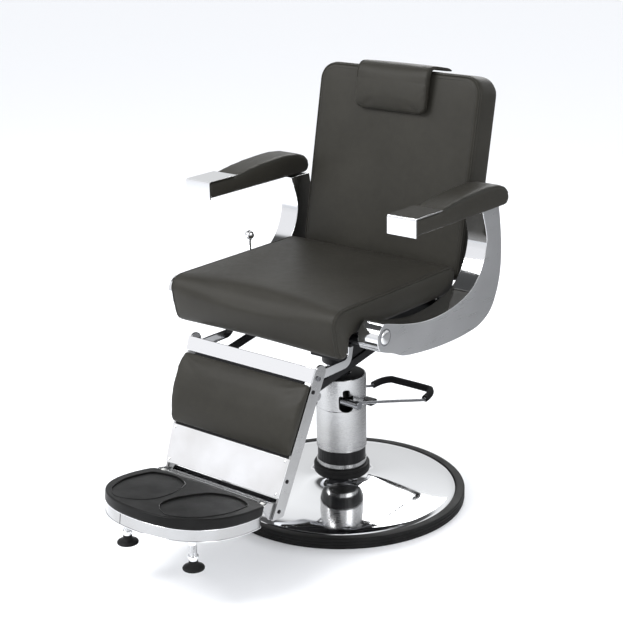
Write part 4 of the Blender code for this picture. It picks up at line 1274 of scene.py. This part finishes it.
# ---- lights, floor, camera ----------------------------------------------------------------------
def make_studio():
    floor_mesh = bpy.data.meshes.new("floor")
    floor_mesh.from_pydata([(-60, -60, -0.0005), (60, -60, -0.0005), (60, 60, -0.0005),
                            (-60, 60, -0.0005)], [],
                           [(0, 1, 2, 3)])
    pale = Finish("pale_floor", (0.93, 0.94, 0.96), 0.9)
    pale.give("Roughness", pale.between(pale.noise(3.0), 0.3, 0.7, 0.88, 0.95))
    # Painted shade: glossy rays see the floor darker towards the rear (0.93 down to 0.22), which
    # paints dark edges into the chrome's reflections; camera and diffuse rays see it evenly pale.
    mirrored = pale.node("ShaderNodeLightPath", output="Is Glossy Ray")
    painted_reflection_shade = pale.between(pale.axis(pale.place(), "Y"), -0.4, 0.9, 0.93, 0.22)
    tone = mirrored * painted_reflection_shade + (1.0 - mirrored) * 0.94
    pale.give("Base Color",
              pale.node("ShaderNodeCombineColor", {}, {0: tone * 0.99, 1: tone, 2: tone * 1.02}))
    collect("floor", floor_mesh, pale.material)
    world = bpy.data.worlds.new("studio")
    bpy.context.scene.world = world
    world.use_nodes = True
    ground = world.node_tree.nodes["Background"]
    sky = Shading(world.node_tree)
    towards = sky.node("ShaderNodeTexCoord", output="Generated")
    height = sky.axis(towards, "Z")
    room = sky.shades(height, *[(p, (g * 0.98, g * 0.99, g)) for p, g in
                                ((0.0, 0.95), (0.12, 0.74), (0.30, 0.80), (0.54, 1.05),
                                 (0.64, 0.90), (0.71, 0.10),
                                 (0.88, 0.07), (0.95, 1.1))])

    def towards_place(direction, none, full):
        nearness = sky.node("ShaderNodeVectorMath", {"operation": "DOT_PRODUCT"},
                            {0: towards, 1: direction},
                            output="Value")
        return sky.between(nearness, none, full, 0.0, 1.0)

    window = ((-0.62, -0.70, 0.36), 0.90, 0.97, 1.05)
    dark_wall = ((0.95, -0.30, 0.10), 0.80, 0.93, 0.22)
    for direction, none, full, shade_of in (window, dark_wall):
        room = sky.node("ShaderNodeMixRGB", {}, {0: towards_place(direction, none, full), 1: room,
                                                 2: (shade_of, shade_of, shade_of * 1.02, 1.0)})
    mirrored = sky.node("ShaderNodeLightPath", output="Is Glossy Ray")
    room = sky.node("ShaderNodeMixRGB", {}, {0: mirrored, 1: (1.0, 1.01, 1.03, 1.0), 2: room})
    seen = sky.node("ShaderNodeLightPath", output="Is Camera Ray")
    room = sky.node("ShaderNodeMixRGB", {}, {0: seen, 1: room, 2: (0.97, 0.98, 1.0, 1.0)})
    sky.tree.links.new(room.socket, ground.inputs["Color"])
    ground.inputs["Strength"].default_value = 1.0
    bpy.context.scene.view_settings.view_transform = "Standard"


def light(name, place, target, size, power):
    data = bpy.data.lights.new(name, "AREA")
    data.shape = "RECTANGLE"
    data.size, data.size_y = size
    data.energy = power
    obj = bpy.data.objects.new(name, data)
    obj.location = place
    aim = Vector(target) - Vector(place)
    obj.rotation_euler = aim.to_track_quat("-Z", "Y").to_euler()
    bpy.context.scene.collection.objects.link(obj)
    return obj


def make_camera():
    data = bpy.data.cameras.new("camera")
    data.lens, data.sensor_width = 86.2, 36.0
    data.shift_x = -0.0056
    data.clip_end = 200.0
    camera = bpy.data.objects.new("camera", data)
    yaw, pitch, roll = math.radians(39.29), math.radians(18.01), math.radians(-0.915)
    forward = Vector((-math.sin(yaw) * math.cos(pitch), math.cos(yaw) * math.cos(pitch),
                      -math.sin(pitch)))
    right = Vector((math.cos(yaw), math.sin(yaw), 0.0))
    up = right.cross(forward)
    turned_right = right * math.cos(roll) + up * math.sin(roll)
    turned_up = up * math.cos(roll) - right * math.sin(roll)
    camera.matrix_world = Matrix.Translation((2.287, -2.899, 1.720)) @ Matrix(
        (turned_right, turned_up, -forward)).transposed().to_4x4()
    bpy.context.scene.collection.objects.link(camera)
    bpy.context.scene.camera = camera


make_camera()
make_studio()
light("key", (-1.2, -2.6, 3.2), (0, 0, 0.5), (1.8, 1.8), 120)
light("fill", (3.2, -0.8, 2.0), (0, 0, 0.5), (1.6, 2.2), 38)
light("rear", (-1.0, 2.6, 2.6), (0, 0, 0.7), (1.6, 1.6), 45)
make_base()
make_shroud()
make_foot_lever()
for SIDE_OF, ENDING in BOTH:
    make_arm(SIDE_OF, ENDING)
    make_glide(SIDE_OF, ENDING)
    make_step_bracket(SIDE_OF, ENDING)
make_seat()
make_back()
make_headrest()
make_recline_lever()
make_leg_rest()
make_footrest()
bpy.context.view_layer.update()
